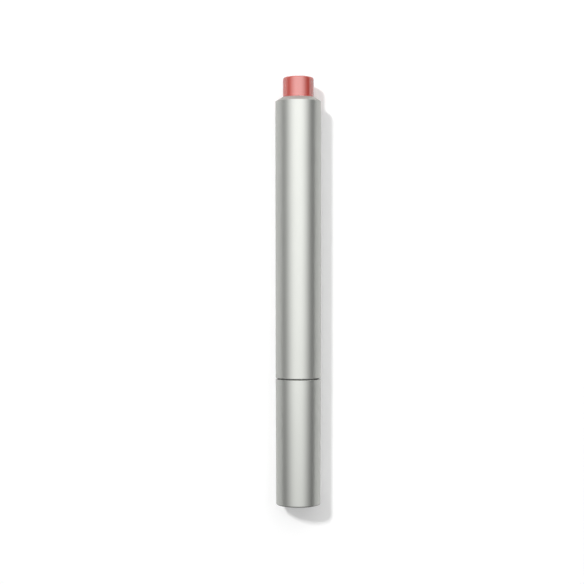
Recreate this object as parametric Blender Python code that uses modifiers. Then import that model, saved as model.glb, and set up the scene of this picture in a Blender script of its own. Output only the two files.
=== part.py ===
"""Click-dispenser pen for a liquid nail treatment, standing on the flat end of its cap.

The pen's axis is +Z, from the cap's flat end at the origin to the push button. Pressing the button pushes the
ratchet rotor down against its spring. The teeth turn the rotor by one step, the rotor turns the screw rod, and
the rod screws forward through the fixed thread collar and pushes the piston. All sizes are in metres.
"""

import math

import bmesh
import bpy
from mathutils import Matrix, Vector

# Clearances, shared by all pieces
SEAT_GAP = 0.0003
RUNNING_GAP = 0.0001
CUT_OVERRUN = 0.0002
MERGE_DISTANCE = 0.000001

# Facets round each kind of piece, and the angle above which an edge stays sharp
SLEEVE_STEPS = 48
INNER_STEPS = 32
SMALL_STEPS = 20
ARC_STEPS = 4
SHARP_ANGLE = math.radians(35)

# Cap. Its mouth is a step narrower than the barrel, and its draft narrows it to the flat end, in diameter.
CAP_LENGTH = 0.03615
CAP_MOUTH_STEP = 0.00005
CAP_DRAFT = 0.00025
CAP_EDGE_RADIUS = 0.0004
CAP_END_WALL = 0.0008
SLEEVE_WALL = 0.0005
SLEEVE_LIP_CHAMFER = 0.00012
LINER_WALL = 0.0006
LINER_RECESS = 0.0007
LINER_FLOOR_CHAMFER = 0.0005
LINER_LEAD_IN = 0.0004
LINER_SEAL_STEP = 0.0012
LINER_FLUTE_COUNT = 8
LINER_FLUTE_WIDTH = 0.0024
LINER_FLUTE_DEPTH = 0.0010
LINER_FLUTE_MARGIN = 0.0015

# Barrel and its turned-in shoulder. The diameter is the front's, and the draft widens it to the rear.
SEAM_GAP = 0.0003
BARREL_LENGTH = 0.07905
BARREL_DIAMETER = 0.0130
BARREL_DRAFT = 0.00015
SHOULDER_WIDTH = 0.001975
SHOULDER_HEIGHT = 0.0012
SHOULDER_BEND_RADIUS = 0.0004
SHOULDER_EDGE_WALL = 0.00015

# Push button
BUTTON_STAND = 0.0060
BUTTON_TRAVEL = 0.0020
BUTTON_WALL = 0.0010
BUTTON_RIM_RADIUS = 0.00055
BUTTON_HOLE_GAP = 0.00015
BUTTON_FLANGE_LIP = 0.0005
BUTTON_FLANGE_HEIGHT = 0.0013

# Tail guide and button cam
TAIL_GUIDE_HEIGHT = 0.0060
TAIL_GUIDE_LEAD_IN = 0.0003
CAM_STEM_LENGTH = 0.0060
CAM_STEM_WALL = 0.0007
CAM_WEB = 0.0012
CAM_ENTRY = 0.0041
KEY_WIDTH = 0.0014
KEY_HEIGHT = 0.0005
KEY_COUNT = 2

# Ratchet teeth, rotor and fixed cam
TOOTH_COUNT = 8
TOOTH_HEIGHT = 0.0011
TOOTH_FOOT = 0.0002
TOOTH_LAND_SHARE = 0.07
TOOTH_RING_WALL = 0.0013
ROTOR_FLANGE_HEIGHT = 0.0015
ROTOR_SLEEVE_LENGTH = 0.0142
ROTOR_DRIVE_LENGTH = 0.0050
ROTOR_WALL = 0.00055
ROTOR_SIDE_GAP = 0.0002
FIXED_CAM_BODY = 0.0015
FIXED_CAM_WALL = 0.00075
FIXED_CAM_LUG_WIDTH = 0.0012
FIXED_CAM_LUG_DEPTH = 0.0008
FIXED_CAM_LUG_COUNT = 2
HOUSING_WALL = 0.0006
POCKET_COUNT = 6
POCKET_WIDTH = 0.0034
POCKET_DEPTH = 0.0009
POCKET_MARGIN = 0.0012
TAB_COUNT = 4
TAB_WIDTH = 0.0014
TAB_DEPTH = 0.0006

# Return spring and its washer
SPRING_WIRE = 0.0006
SPRING_TURNS = 8
SPRING_POINTS_PER_TURN = 10
SPRING_END_GAP = 0.00045
SPRING_SIDE_GAP = 0.00025
WASHER_THICKNESS = 0.0003

# Screw rod and thread collar
ROD_BORE_GAP = 0.0003
ROD_FLATS_SHARE = 0.75
ROD_END_CHAMFER = 0.0003
ROD_OVERRUN = 0.00065
ROD_HEAD_STEP = 0.0003
ROD_HEAD_LENGTH = 0.0016
ROD_NECK_STEP = 0.0004
ROD_NECK_LENGTH = 0.0015
COLLAR_FLANGE_HEIGHT = 0.0012
COLLAR_SPIGOT_LENGTH = 0.0032
COLLAR_SKIRT_WALL = 0.0007
COLLAR_HUB_WALL = 0.0010
COLLAR_CORE_DEPTH = 0.0026
COLLAR_RIB_COUNT = 6
COLLAR_RIB_WIDTH = 0.0006
COLLAR_RIB_RECESS = 0.0004

# Reservoir, its neck, and the piston
RESERVOIR_WALL = 0.0006
RESERVOIR_RECESS = 0.0005
RESERVOIR_SHOULDER = 0.0006
CHAMBER_FRONT = 0.0022
CHAMBER_CONE_HEIGHT = 0.0009
NECK_LENGTH = 0.0090
NECK_WALL = 0.0010
BEAD_HEIGHT = 0.00025
BEAD_WIDTH = 0.0010
BEAD_PLACE = 0.0035
PISTON_LENGTH = 0.0065
PISTON_REST_GAP = 0.0013
PISTON_LIP_WALL = 0.0007
PISTON_CONE_HEIGHT = 0.0009
PISTON_SEAL_THICKNESS = 0.0008
PISTON_SEAL_PLACE = 0.0011
SEAL_GROOVE_SIDE_GAP = 0.0002
SEAL_STEPS = 6

# Nozzle, feed tube and brush
NOZZLE_LENGTH = 0.0098
NOZZLE_SPIGOT_LENGTH = 0.0060
NOZZLE_FLANGE_HEIGHT = 0.0010
NOZZLE_TIP_DIAMETER = 0.0052
NOZZLE_SEAL_THICKNESS = 0.0007
NOZZLE_SEAL_PLACE = 0.0022
NOZZLE_SOCKET_DEPTH = 0.0040
NOZZLE_TIP_WALL = 0.0005
NOZZLE_CURVE_STEPS = 3
BRUSH_TIP_ROOM = 0.00525
FERRULE_WALL = 0.00025
FERRULE_STAND = 0.0006
FEED_TUBE_DIAMETER = 0.0007
FEED_TUBE_BORE = 0.0004
FEED_TUBE_INSIDE = 0.0050
FEED_TUBE_STAND = 0.0030
STRAND_COUNT = 300
STRAND_SIDES = 3
STRAND_THICKNESS_SHARE = 0.62
STRAND_MARGIN = 0.00009
STRAND_ROOT_DEPTH = 0.00025
STRAND_BACKING = 0.0006
STRAND_TIP_SHARE = 0.5
STRAND_DOME = 0.0022
GOLDEN_ANGLE = math.radians(137.50776)

# Colours and finishes
SILVER = (0.70, 0.70, 0.68)
CORAL = (0.76, 0.27, 0.22)
WHITE_PLASTIC = (0.86, 0.86, 0.84)
NATURAL_PLASTIC = (0.80, 0.81, 0.79)
ACETAL = (0.90, 0.89, 0.86)
DARK_RUBBER = (0.05, 0.05, 0.05)
STEEL = (0.62, 0.62, 0.62)
NYLON = (0.88, 0.86, 0.80)

# Heights along the pen, worked out from the sizes above
LINER_FLOOR_Z = CAP_END_WALL + SEAT_GAP
LINER_INSIDE_Z = LINER_FLOOR_Z + LINER_WALL
NECK_END_Z = CAP_LENGTH - NECK_LENGTH
NOZZLE_TOP_Z = NECK_END_Z - SEAT_GAP
NOZZLE_TIP_Z = NOZZLE_TOP_Z - NOZZLE_LENGTH
BRUSH_TIP_Z = LINER_INSIDE_Z + BRUSH_TIP_ROOM
BARREL_FRONT_Z = CAP_LENGTH + SEAM_GAP
BARREL_REAR_Z = BARREL_FRONT_Z + BARREL_LENGTH
SHOULDER_TOP_Z = BARREL_REAR_Z + SHOULDER_HEIGHT
SHOULDER_UNDER_Z = BARREL_REAR_Z - SHOULDER_EDGE_WALL
BUTTON_TOP_Z = SHOULDER_TOP_Z + BUTTON_STAND
BUTTON_INSIDE_Z = BUTTON_TOP_Z - BUTTON_WALL
BUTTON_FLANGE_TOP_Z = SHOULDER_UNDER_Z - SEAT_GAP
BUTTON_BOTTOM_Z = BUTTON_FLANGE_TOP_Z - BUTTON_FLANGE_HEIGHT
TAIL_GUIDE_TOP_Z = BUTTON_BOTTOM_Z - BUTTON_TRAVEL - SEAT_GAP
TAIL_GUIDE_BOTTOM_Z = TAIL_GUIDE_TOP_Z - TAIL_GUIDE_HEIGHT
HOUSING_TOP_Z = TAIL_GUIDE_BOTTOM_Z - SEAT_GAP
CAM_TOP_Z = BUTTON_BOTTOM_Z - SEAT_GAP
CAM_TIP_Z = HOUSING_TOP_Z - CAM_ENTRY
ROTOR_TOP_Z = CAM_TIP_Z - SEAT_GAP
ROTOR_FLANGE_TOP_Z = ROTOR_TOP_Z - TOOTH_HEIGHT - TOOTH_FOOT
ROTOR_FLANGE_BOTTOM_Z = ROTOR_FLANGE_TOP_Z - ROTOR_FLANGE_HEIGHT
ROTOR_LOWER_TIP_Z = ROTOR_FLANGE_BOTTOM_Z - TOOTH_HEIGHT - TOOTH_FOOT
ROTOR_BOTTOM_Z = ROTOR_FLANGE_BOTTOM_Z - ROTOR_SLEEVE_LENGTH
ROTOR_DRIVE_TOP_Z = ROTOR_BOTTOM_Z + ROTOR_DRIVE_LENGTH
FIXED_CAM_TIP_Z = ROTOR_LOWER_TIP_Z - BUTTON_TRAVEL - SEAT_GAP
FIXED_CAM_BOTTOM_Z = FIXED_CAM_TIP_Z - TOOTH_HEIGHT - FIXED_CAM_BODY
HOUSING_LEDGE_Z = FIXED_CAM_BOTTOM_Z - SEAT_GAP
COLLAR_TOP_Z = ROTOR_BOTTOM_Z - BUTTON_TRAVEL - SEAT_GAP
COLLAR_FLANGE_Z = COLLAR_TOP_Z - COLLAR_FLANGE_HEIGHT
RESERVOIR_REAR_Z = COLLAR_FLANGE_Z - SEAT_GAP
COLLAR_BOTTOM_Z = RESERVOIR_REAR_Z - COLLAR_SPIGOT_LENGTH
HOUSING_BOTTOM_Z = COLLAR_TOP_Z + SEAT_GAP
WASHER_TOP_Z = ROTOR_FLANGE_BOTTOM_Z - SEAT_GAP
SPRING_TOP_Z = WASHER_TOP_Z - WASHER_THICKNESS - SEAT_GAP
SPRING_BOTTOM_Z = COLLAR_TOP_Z + SEAT_GAP
CHAMBER_FLOOR_Z = BARREL_FRONT_Z + CHAMBER_FRONT

PISTON_REAR_Z = COLLAR_BOTTOM_Z - PISTON_REST_GAP
PISTON_FRONT_Z = PISTON_REAR_Z - PISTON_LENGTH
ROD_TOP_Z = BUTTON_INSIDE_Z - BUTTON_TRAVEL - SEAT_GAP
ROD_HEAD_TOP_Z = PISTON_REAR_Z - PISTON_LIP_WALL - SEAT_GAP
ROD_BOTTOM_Z = ROD_HEAD_TOP_Z - ROD_HEAD_LENGTH
ROD_THREAD_Z = ROD_HEAD_TOP_Z + ROD_NECK_LENGTH

# The stroke is the shorter of what the chamber and the rod allow: the piston stops on the chamber's floor, and
# the rod has to stay in the rotor's drive hole when the reservoir is empty.
CHAMBER_ROOM = PISTON_FRONT_Z - CHAMBER_FLOOR_Z - SEAT_GAP
ROD_ROOM = ROD_TOP_Z - ROTOR_DRIVE_TOP_Z - ROD_OVERRUN
STROKE = min(CHAMBER_ROOM, ROD_ROOM)

# Radii, from the sleeves inwards to the rod and to the brush
BARREL_FRONT_RADIUS = BARREL_DIAMETER / 2
BARREL_REAR_RADIUS = (BARREL_DIAMETER + BARREL_DRAFT) / 2
CAP_MOUTH_RADIUS = (BARREL_DIAMETER - CAP_MOUTH_STEP) / 2
CAP_END_RADIUS = CAP_MOUTH_RADIUS - CAP_DRAFT / 2
CAP_BORE = CAP_END_RADIUS - SLEEVE_WALL
LINER_OUTER = CAP_BORE - SEAT_GAP
LINER_BORE = LINER_OUTER - LINER_WALL
BEAD_OUTER = LINER_BORE - RUNNING_GAP
NECK_OUTER = BEAD_OUTER - BEAD_HEIGHT
NECK_BORE = NECK_OUTER - NECK_WALL
BARREL_BORE = BARREL_FRONT_RADIUS - SLEEVE_WALL
BARREL_LINING = BARREL_BORE - SEAT_GAP
CHAMBER_BORE = BARREL_LINING - RESERVOIR_WALL
BUTTON_HOLE = BARREL_REAR_RADIUS - SHOULDER_WIDTH
BUTTON_RADIUS = BUTTON_HOLE - BUTTON_HOLE_GAP
BUTTON_FLANGE = BUTTON_HOLE + BUTTON_FLANGE_LIP
BUTTON_BORE = BUTTON_RADIUS - BUTTON_WALL
CAM_STEM_OUTER = BUTTON_BORE - RUNNING_GAP
CAM_OUTER = BUTTON_RADIUS
CAM_TOOTH_BORE = CAM_OUTER - TOOTH_RING_WALL
TAIL_GUIDE_BORE = CAM_OUTER + RUNNING_GAP
KEY_OUTER = CAM_OUTER + KEY_HEIGHT
CAM_BORE = CAM_STEM_OUTER - CAM_STEM_WALL
HOUSING_BORE = BARREL_LINING - HOUSING_WALL
ROTOR_FLANGE = HOUSING_BORE - ROTOR_SIDE_GAP
FIXED_CAM_OUTER = ROTOR_FLANGE
FIXED_CAM_BORE = FIXED_CAM_OUTER - FIXED_CAM_WALL
SPRING_OUTER = FIXED_CAM_BORE - SPRING_SIDE_GAP
SPRING_RADIUS = SPRING_OUTER - SPRING_WIRE / 2
ROTOR_SLEEVE = SPRING_OUTER - SPRING_WIRE - SPRING_SIDE_GAP
ROTOR_BORE = ROTOR_SLEEVE - ROTOR_WALL
ROD_RADIUS = ROTOR_BORE - ROD_BORE_GAP
ROD_HALF_FLATS = ROD_RADIUS * ROD_FLATS_SHARE
ROD_HEAD_RADIUS = ROD_RADIUS + ROD_HEAD_STEP
ROD_NECK_RADIUS = ROD_RADIUS - ROD_NECK_STEP
ROTOR_PILOT = ROD_HALF_FLATS - CUT_OVERRUN
PISTON_OUTER = CHAMBER_BORE - RUNNING_GAP
NOZZLE_SPIGOT = NECK_BORE - RUNNING_GAP
NOZZLE_BORE = FEED_TUBE_DIAMETER / 2 + RUNNING_GAP
NOZZLE_TIP = NOZZLE_TIP_DIAMETER / 2
FEED_TUBE_OUTER = FEED_TUBE_DIAMETER / 2
NOZZLE_SOCKET = NOZZLE_TIP - NOZZLE_TIP_WALL
FERRULE_OUTER = NOZZLE_SOCKET - RUNNING_GAP
FERRULE_BORE = FERRULE_OUTER - FERRULE_WALL
BRUSH_ROOT = FERRULE_BORE - RUNNING_GAP


def remove_objects():
    """Empty the scene."""
    for old in list(bpy.data.objects):
        bpy.data.objects.remove(old, do_unlink=True)


def new_collection(name):
    """A collection of the scene."""
    collection = bpy.data.collections.new(name)
    bpy.context.scene.collection.children.link(collection)
    return collection


def finish_of(name, colour, roughness, metallic=0.0):
    """A Principled material."""
    material = bpy.data.materials.new(name)
    material.use_nodes = True
    shader = material.node_tree.nodes["Principled BSDF"]
    shader.inputs["Base Color"].default_value = (*colour, 1.0)
    shader.inputs["Roughness"].default_value = roughness
    shader.inputs["Metallic"].default_value = metallic
    return material


def arc(centre_r, centre_z, radius, start, end):
    """Points (radius, height) of an arc in the profile plane, with angles from the outward direction."""
    points = []
    for step in range(ARC_STEPS + 1):
        angle = math.radians(start + (end - start) * step / ARC_STEPS)
        points.append((centre_r + radius * math.cos(angle), centre_z + radius * math.sin(angle)))
    return points


def turned(name, outline, steps, collection=None):
    """A solid turned about the pen's axis, with its origin on the axis at its lowest point.

    The outline is a list of (radius, height). It runs down the outer side and up the inner side, and it is
    closed unless both its ends lie on the axis.
    """
    base = min(height for _, height in outline)
    closed = outline[0][0] > 0 or outline[-1][0] > 0
    shape = bmesh.new()
    points = [shape.verts.new((radius, 0, height - base)) for radius, height in outline]
    for first, second in zip(points, points[1:]):
        shape.edges.new((first, second))
    if closed:
        shape.edges.new((points[-1], points[0]))
    mesh = bpy.data.meshes.new(name)
    shape.to_mesh(mesh)
    shape.free()
    piece = bpy.data.objects.new(name, mesh)
    (collection or parts).objects.link(piece)
    piece.location.z = base
    screw = piece.modifiers.new("turn", "SCREW")
    screw.axis = "Z"
    screw.steps = steps
    screw.render_steps = steps
    screw.use_merge_vertices = True
    screw.merge_threshold = MERGE_DISTANCE
    return piece


def as_cutter(guide):
    """Keep a cutter out of the renders."""
    guide.hide_render = True
    guide.display_type = "WIRE"
    return guide


def mesh_cutter(name, shape):
    """A cutter from a bmesh."""
    mesh = bpy.data.meshes.new(name)
    shape.to_mesh(mesh)
    shape.free()
    cutter = bpy.data.objects.new(name, mesh)
    cutters.objects.link(cutter)
    return as_cutter(cutter)


def block_cutter(name, low, high, count=1):
    """A box between two corners, repeated by turning it round the axis."""
    shape = bmesh.new()
    for copy in range(count):
        made = bmesh.ops.create_cube(shape, size=1.0)["verts"]
        turn = 2 * math.pi * copy / count
        for vert in made:
            x, y, z = (a + (b - a) * (c + 0.5) for a, b, c in zip(low, high, vert.co))
            vert.co.x = x * math.cos(turn) - y * math.sin(turn)
            vert.co.y = x * math.sin(turn) + y * math.cos(turn)
            vert.co.z = z
    return mesh_cutter(name, shape)


def flats_cutter(name, half_width, low, high, reach):
    """Two boxes that leave a bar with two flats, facing +Y and -Y."""
    shape = bmesh.new()
    for side in (1, -1):
        made = bmesh.ops.create_cube(shape, size=1.0)["verts"]
        for vert in made:
            vert.co.x = 2 * reach * vert.co.x
            vert.co.y = side * (half_width + reach * (vert.co.y + 0.5))
            vert.co.z = low + (high - low) * (vert.co.z + 0.5)
        if side < 0:
            bmesh.ops.reverse_faces(shape, faces=list({face for vert in made for face in vert.link_faces}))
    return mesh_cutter(name, shape)


def tooth_gap_cutter(name, inner, outer, tip, up, turn):
    """The gaps between the ratchet teeth of a ring, as one wedge per tooth.

    Each wedge is steep at one end and runs out to nothing at the other. up is 1 for teeth that point up and
    -1 for teeth that point down, and turn is 1 where the ramps rise with the angle and -1 where they fall.
    """
    pitch = 2 * math.pi / TOOTH_COUNT
    shape = bmesh.new()
    for tooth in range(TOOTH_COUNT):
        start = pitch * (tooth + TOOTH_LAND_SHARE / 2)
        end = pitch * (tooth + 1 - TOOTH_LAND_SHARE / 2)
        made = bmesh.ops.create_cube(shape, size=1.0)["verts"]
        for vert in made:
            radius = outer + CUT_OVERRUN if vert.co.x > 0 else inner - CUT_OVERRUN
            angle = end if vert.co.y > 0 else start
            deep_end = (vert.co.y > 0) == (up * turn < 0)
            if (vert.co.z > 0) == (up > 0):
                height = tip + up * CUT_OVERRUN
            else:
                height = tip - up * (TOOTH_HEIGHT if deep_end else 0)
            vert.co = (radius * math.cos(angle), radius * math.sin(angle), height)
    bmesh.ops.triangulate(shape, faces=shape.faces)
    return mesh_cutter(name, shape)


def combine(piece, tool, operation):
    """Cut a piece with a tool, or join the tool to it, by an exact Boolean."""
    step = piece.modifiers.new(tool.name, "BOOLEAN")
    step.operation = operation
    step.solver = "EXACT"
    step.object = tool


def settle(piece, material):
    """Turn the modifiers' result into the piece's own mesh, and give it its material and shading."""
    view = bpy.context.evaluated_depsgraph_get()
    mesh = bpy.data.meshes.new_from_object(piece.evaluated_get(view))
    piece.modifiers.clear()
    piece.data = mesh
    mesh.materials.clear()
    mesh.materials.append(material)
    mesh.shade_smooth()
    mesh.set_sharp_from_angle(angle=SHARP_ANGLE)
    return piece


def hang(child, parent):
    """Parent a piece, or a joint's empty, without moving it."""
    bpy.context.view_layer.update()
    child.parent = parent
    child.matrix_parent_inverse = parent.matrix_world.inverted()


def joint_empty(name, height, parent):
    """The empty that carries a moving body, on the pen's axis."""
    empty = bpy.data.objects.new(name, None)
    parts.objects.link(empty)
    empty.location.z = height
    empty.empty_display_size = BARREL_FRONT_RADIUS
    if parent:
        hang(empty, parent)
    return empty


def cap_sleeve():
    """Drawn aluminium cup with a rounded edge and a slight draft."""
    return turned(
        "cap_sleeve",
        [
            (0, CAP_END_WALL),
            (CAP_BORE, CAP_END_WALL),
            (CAP_BORE, CAP_LENGTH - SLEEVE_LIP_CHAMFER),
            (CAP_BORE + SLEEVE_LIP_CHAMFER, CAP_LENGTH),
            (CAP_MOUTH_RADIUS - SLEEVE_LIP_CHAMFER, CAP_LENGTH),
            (CAP_MOUTH_RADIUS, CAP_LENGTH - SLEEVE_LIP_CHAMFER),
            *arc(CAP_END_RADIUS - CAP_EDGE_RADIUS, CAP_EDGE_RADIUS, CAP_EDGE_RADIUS, 0, -90),
            (0, 0),
        ],
        SLEEVE_STEPS,
    )


def nozzle_radius(height):
    """Radius of the nozzle's cone at a height: widest below the neck, narrowest at the tip."""
    share = (height - NOZZLE_TIP_Z) / (NOZZLE_LENGTH - NOZZLE_FLANGE_HEIGHT)
    return NOZZLE_TIP + (NECK_BORE - NOZZLE_TIP) * math.sin(share * math.pi / 2)


def cap_liner():
    """Plastic cup pressed into the cap. It grips the neck, and its land closes round the nozzle.

    Flutes outside the thick wall keep it even, as in a moulding.
    """
    neck_seat = NOZZLE_TOP_Z - NOZZLE_FLANGE_HEIGHT - SEAT_GAP
    land_top = neck_seat - LINER_SEAL_STEP
    land_radius = max(nozzle_radius(land_top), NOZZLE_TIP) + RUNNING_GAP
    mouth = CAP_LENGTH - LINER_RECESS
    liner = turned(
        "cap_liner",
        [
            (0, LINER_INSIDE_Z),
            (land_radius, LINER_INSIDE_Z),
            (land_radius, land_top),
            (LINER_BORE, neck_seat),
            (LINER_BORE, mouth - LINER_LEAD_IN),
            (LINER_BORE + LINER_LEAD_IN / 2, mouth),
            (LINER_OUTER, mouth),
            (LINER_OUTER, LINER_FLOOR_Z + LINER_FLOOR_CHAMFER),
            (LINER_OUTER - LINER_FLOOR_CHAMFER, LINER_FLOOR_Z),
            (0, LINER_FLOOR_Z),
        ],
        INNER_STEPS,
    )
    flutes = block_cutter(
        "liner_flutes",
        (LINER_OUTER - LINER_FLUTE_DEPTH, -LINER_FLUTE_WIDTH / 2, LINER_INSIDE_Z + LINER_FLUTE_MARGIN),
        (LINER_OUTER + LINER_FLUTE_DEPTH, LINER_FLUTE_WIDTH / 2, land_top - LINER_FLUTE_MARGIN),
        LINER_FLUTE_COUNT,
    )
    combine(liner, flutes, "DIFFERENCE")
    return liner


def barrel_sleeve():
    """Drawn aluminium tube. Its rear end is turned in to a shallow cone with the button's hole."""
    slope = math.degrees(math.atan2(SHOULDER_HEIGHT, BARREL_REAR_RADIUS - BUTTON_HOLE))
    bend = arc(
        BARREL_REAR_RADIUS - SHOULDER_BEND_RADIUS,
        BARREL_REAR_Z,
        SHOULDER_BEND_RADIUS,
        90 - slope,
        0,
    )
    return turned(
        "barrel_sleeve",
        [
            (BUTTON_HOLE, SHOULDER_TOP_Z - SLEEVE_LIP_CHAMFER),
            (BUTTON_HOLE + SLEEVE_LIP_CHAMFER, SHOULDER_TOP_Z),
            *bend,
            (BARREL_FRONT_RADIUS, BARREL_FRONT_Z + SLEEVE_LIP_CHAMFER),
            (BARREL_FRONT_RADIUS - SLEEVE_LIP_CHAMFER, BARREL_FRONT_Z),
            (BARREL_BORE + SLEEVE_LIP_CHAMFER, BARREL_FRONT_Z),
            (BARREL_BORE, BARREL_FRONT_Z + SLEEVE_LIP_CHAMFER),
            (BARREL_BORE, SHOULDER_UNDER_Z),
            (BUTTON_HOLE, SHOULDER_UNDER_Z),
        ],
        SLEEVE_STEPS,
    )


def push_button():
    """Hollow moulded button with a rounded rim. Its flange stops under the barrel's shoulder."""
    rim = arc(BUTTON_RADIUS - BUTTON_RIM_RADIUS, BUTTON_TOP_Z - BUTTON_RIM_RADIUS, BUTTON_RIM_RADIUS, 90, 0)
    return turned(
        "push_button",
        [
            (0, BUTTON_TOP_Z),
            *rim,
            (BUTTON_RADIUS, BUTTON_FLANGE_TOP_Z),
            (BUTTON_FLANGE, BUTTON_FLANGE_TOP_Z),
            (BUTTON_FLANGE, BUTTON_BOTTOM_Z),
            (BUTTON_BORE, BUTTON_BOTTOM_Z),
            (BUTTON_BORE, BUTTON_INSIDE_Z),
            (0, BUTTON_INSIDE_Z),
        ],
        SLEEVE_STEPS,
    )


def button_cam():
    """Stem pressed into the button, with two keys that slide in the tail guide and teeth that point down."""
    cam = turned(
        "button_cam",
        [
            (CAM_STEM_OUTER, CAM_TOP_Z + CAM_STEM_LENGTH),
            (CAM_STEM_OUTER, CAM_TOP_Z),
            (CAM_OUTER, CAM_TOP_Z),
            (CAM_OUTER, CAM_TIP_Z),
            (CAM_TOOTH_BORE, CAM_TIP_Z),
            (CAM_TOOTH_BORE, CAM_TOP_Z - CAM_WEB),
            (CAM_BORE, CAM_TOP_Z - CAM_WEB),
            (CAM_BORE, CAM_TOP_Z + CAM_STEM_LENGTH),
        ],
        INNER_STEPS,
    )
    keys = block_cutter(
        "button_cam_keys",
        (CAM_OUTER - TOOTH_RING_WALL / 2, -KEY_WIDTH / 2, TAIL_GUIDE_BOTTOM_Z + SEAT_GAP),
        (KEY_OUTER, KEY_WIDTH / 2, TAIL_GUIDE_TOP_Z),
        KEY_COUNT,
    )
    combine(cam, keys, "UNION")
    gaps = tooth_gap_cutter("button_cam_gaps", CAM_TOOTH_BORE, CAM_OUTER, CAM_TIP_Z, -1, -1)
    combine(cam, gaps, "DIFFERENCE")
    return cam


def tail_guide():
    """Bush that closes the mechanism, with a keyway right through for each key of the button's stem."""
    guide = turned(
        "tail_guide",
        [
            (BARREL_LINING, TAIL_GUIDE_TOP_Z),
            (BARREL_LINING, TAIL_GUIDE_BOTTOM_Z),
            (TAIL_GUIDE_BORE, TAIL_GUIDE_BOTTOM_Z),
            (TAIL_GUIDE_BORE, TAIL_GUIDE_TOP_Z - TAIL_GUIDE_LEAD_IN),
            (TAIL_GUIDE_BORE + TAIL_GUIDE_LEAD_IN, TAIL_GUIDE_TOP_Z),
        ],
        INNER_STEPS,
    )
    keyways = block_cutter(
        "tail_guide_keyways",
        (TAIL_GUIDE_BORE - KEY_HEIGHT, -KEY_WIDTH / 2 - RUNNING_GAP, TAIL_GUIDE_BOTTOM_Z - CUT_OVERRUN),
        (KEY_OUTER + RUNNING_GAP, KEY_WIDTH / 2 + RUNNING_GAP, TAIL_GUIDE_TOP_Z + CUT_OVERRUN),
        KEY_COUNT,
    )
    combine(guide, keyways, "DIFFERENCE")
    return guide


def mechanism_housing():
    """Moulded tube round the ratchet. Its ledge carries the fixed cam, and its tabs key into the collar."""
    housing = turned(
        "mechanism_housing",
        [
            (BARREL_LINING, HOUSING_TOP_Z),
            (BARREL_LINING, HOUSING_BOTTOM_Z),
            (FIXED_CAM_BORE, HOUSING_BOTTOM_Z),
            (FIXED_CAM_BORE, HOUSING_LEDGE_Z),
            (HOUSING_BORE, HOUSING_LEDGE_Z),
            (HOUSING_BORE, HOUSING_TOP_Z),
        ],
        INNER_STEPS,
    )
    tabs = block_cutter(
        "housing_tabs",
        (BARREL_LINING - TAB_DEPTH, -TAB_WIDTH / 2, COLLAR_FLANGE_Z),
        (BARREL_LINING - RUNNING_GAP, TAB_WIDTH / 2, HOUSING_BOTTOM_Z + POCKET_MARGIN / 2),
        TAB_COUNT,
    )
    combine(housing, tabs, "UNION")
    pockets = block_cutter(
        "housing_pockets",
        (BARREL_LINING - POCKET_DEPTH, -POCKET_WIDTH / 2, HOUSING_BOTTOM_Z + POCKET_MARGIN),
        (BARREL_LINING + POCKET_DEPTH, POCKET_WIDTH / 2, HOUSING_LEDGE_Z - POCKET_MARGIN),
        POCKET_COUNT,
    )
    combine(housing, pockets, "DIFFERENCE")
    notches = block_cutter(
        "housing_notches",
        (
            FIXED_CAM_BORE - CUT_OVERRUN,
            -FIXED_CAM_LUG_WIDTH / 2 - RUNNING_GAP,
            FIXED_CAM_BOTTOM_Z - FIXED_CAM_LUG_DEPTH - SEAT_GAP,
        ),
        (
            FIXED_CAM_OUTER,
            FIXED_CAM_LUG_WIDTH / 2 + RUNNING_GAP,
            HOUSING_LEDGE_Z + CUT_OVERRUN,
        ),
        FIXED_CAM_LUG_COUNT,
    )
    combine(housing, notches, "DIFFERENCE")
    return housing


def fixed_cam():
    """Ring of ratchet teeth that point up, with two lugs that keep it from turning in the housing."""
    cam = turned(
        "fixed_cam",
        [
            (FIXED_CAM_OUTER, FIXED_CAM_TIP_Z),
            (FIXED_CAM_OUTER, FIXED_CAM_BOTTOM_Z),
            (FIXED_CAM_BORE, FIXED_CAM_BOTTOM_Z),
            (FIXED_CAM_BORE, FIXED_CAM_TIP_Z),
        ],
        INNER_STEPS,
    )
    lugs = block_cutter(
        "fixed_cam_lugs",
        (
            FIXED_CAM_BORE + RUNNING_GAP,
            -FIXED_CAM_LUG_WIDTH / 2,
            FIXED_CAM_BOTTOM_Z - FIXED_CAM_LUG_DEPTH,
        ),
        (
            FIXED_CAM_OUTER - RUNNING_GAP,
            FIXED_CAM_LUG_WIDTH / 2,
            FIXED_CAM_BOTTOM_Z + FIXED_CAM_BODY / 2,
        ),
        FIXED_CAM_LUG_COUNT,
    )
    combine(cam, lugs, "UNION")
    gaps = tooth_gap_cutter("fixed_cam_gaps", FIXED_CAM_BORE, FIXED_CAM_OUTER, FIXED_CAM_TIP_Z, 1, 1)
    combine(cam, gaps, "DIFFERENCE")
    return cam


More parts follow.
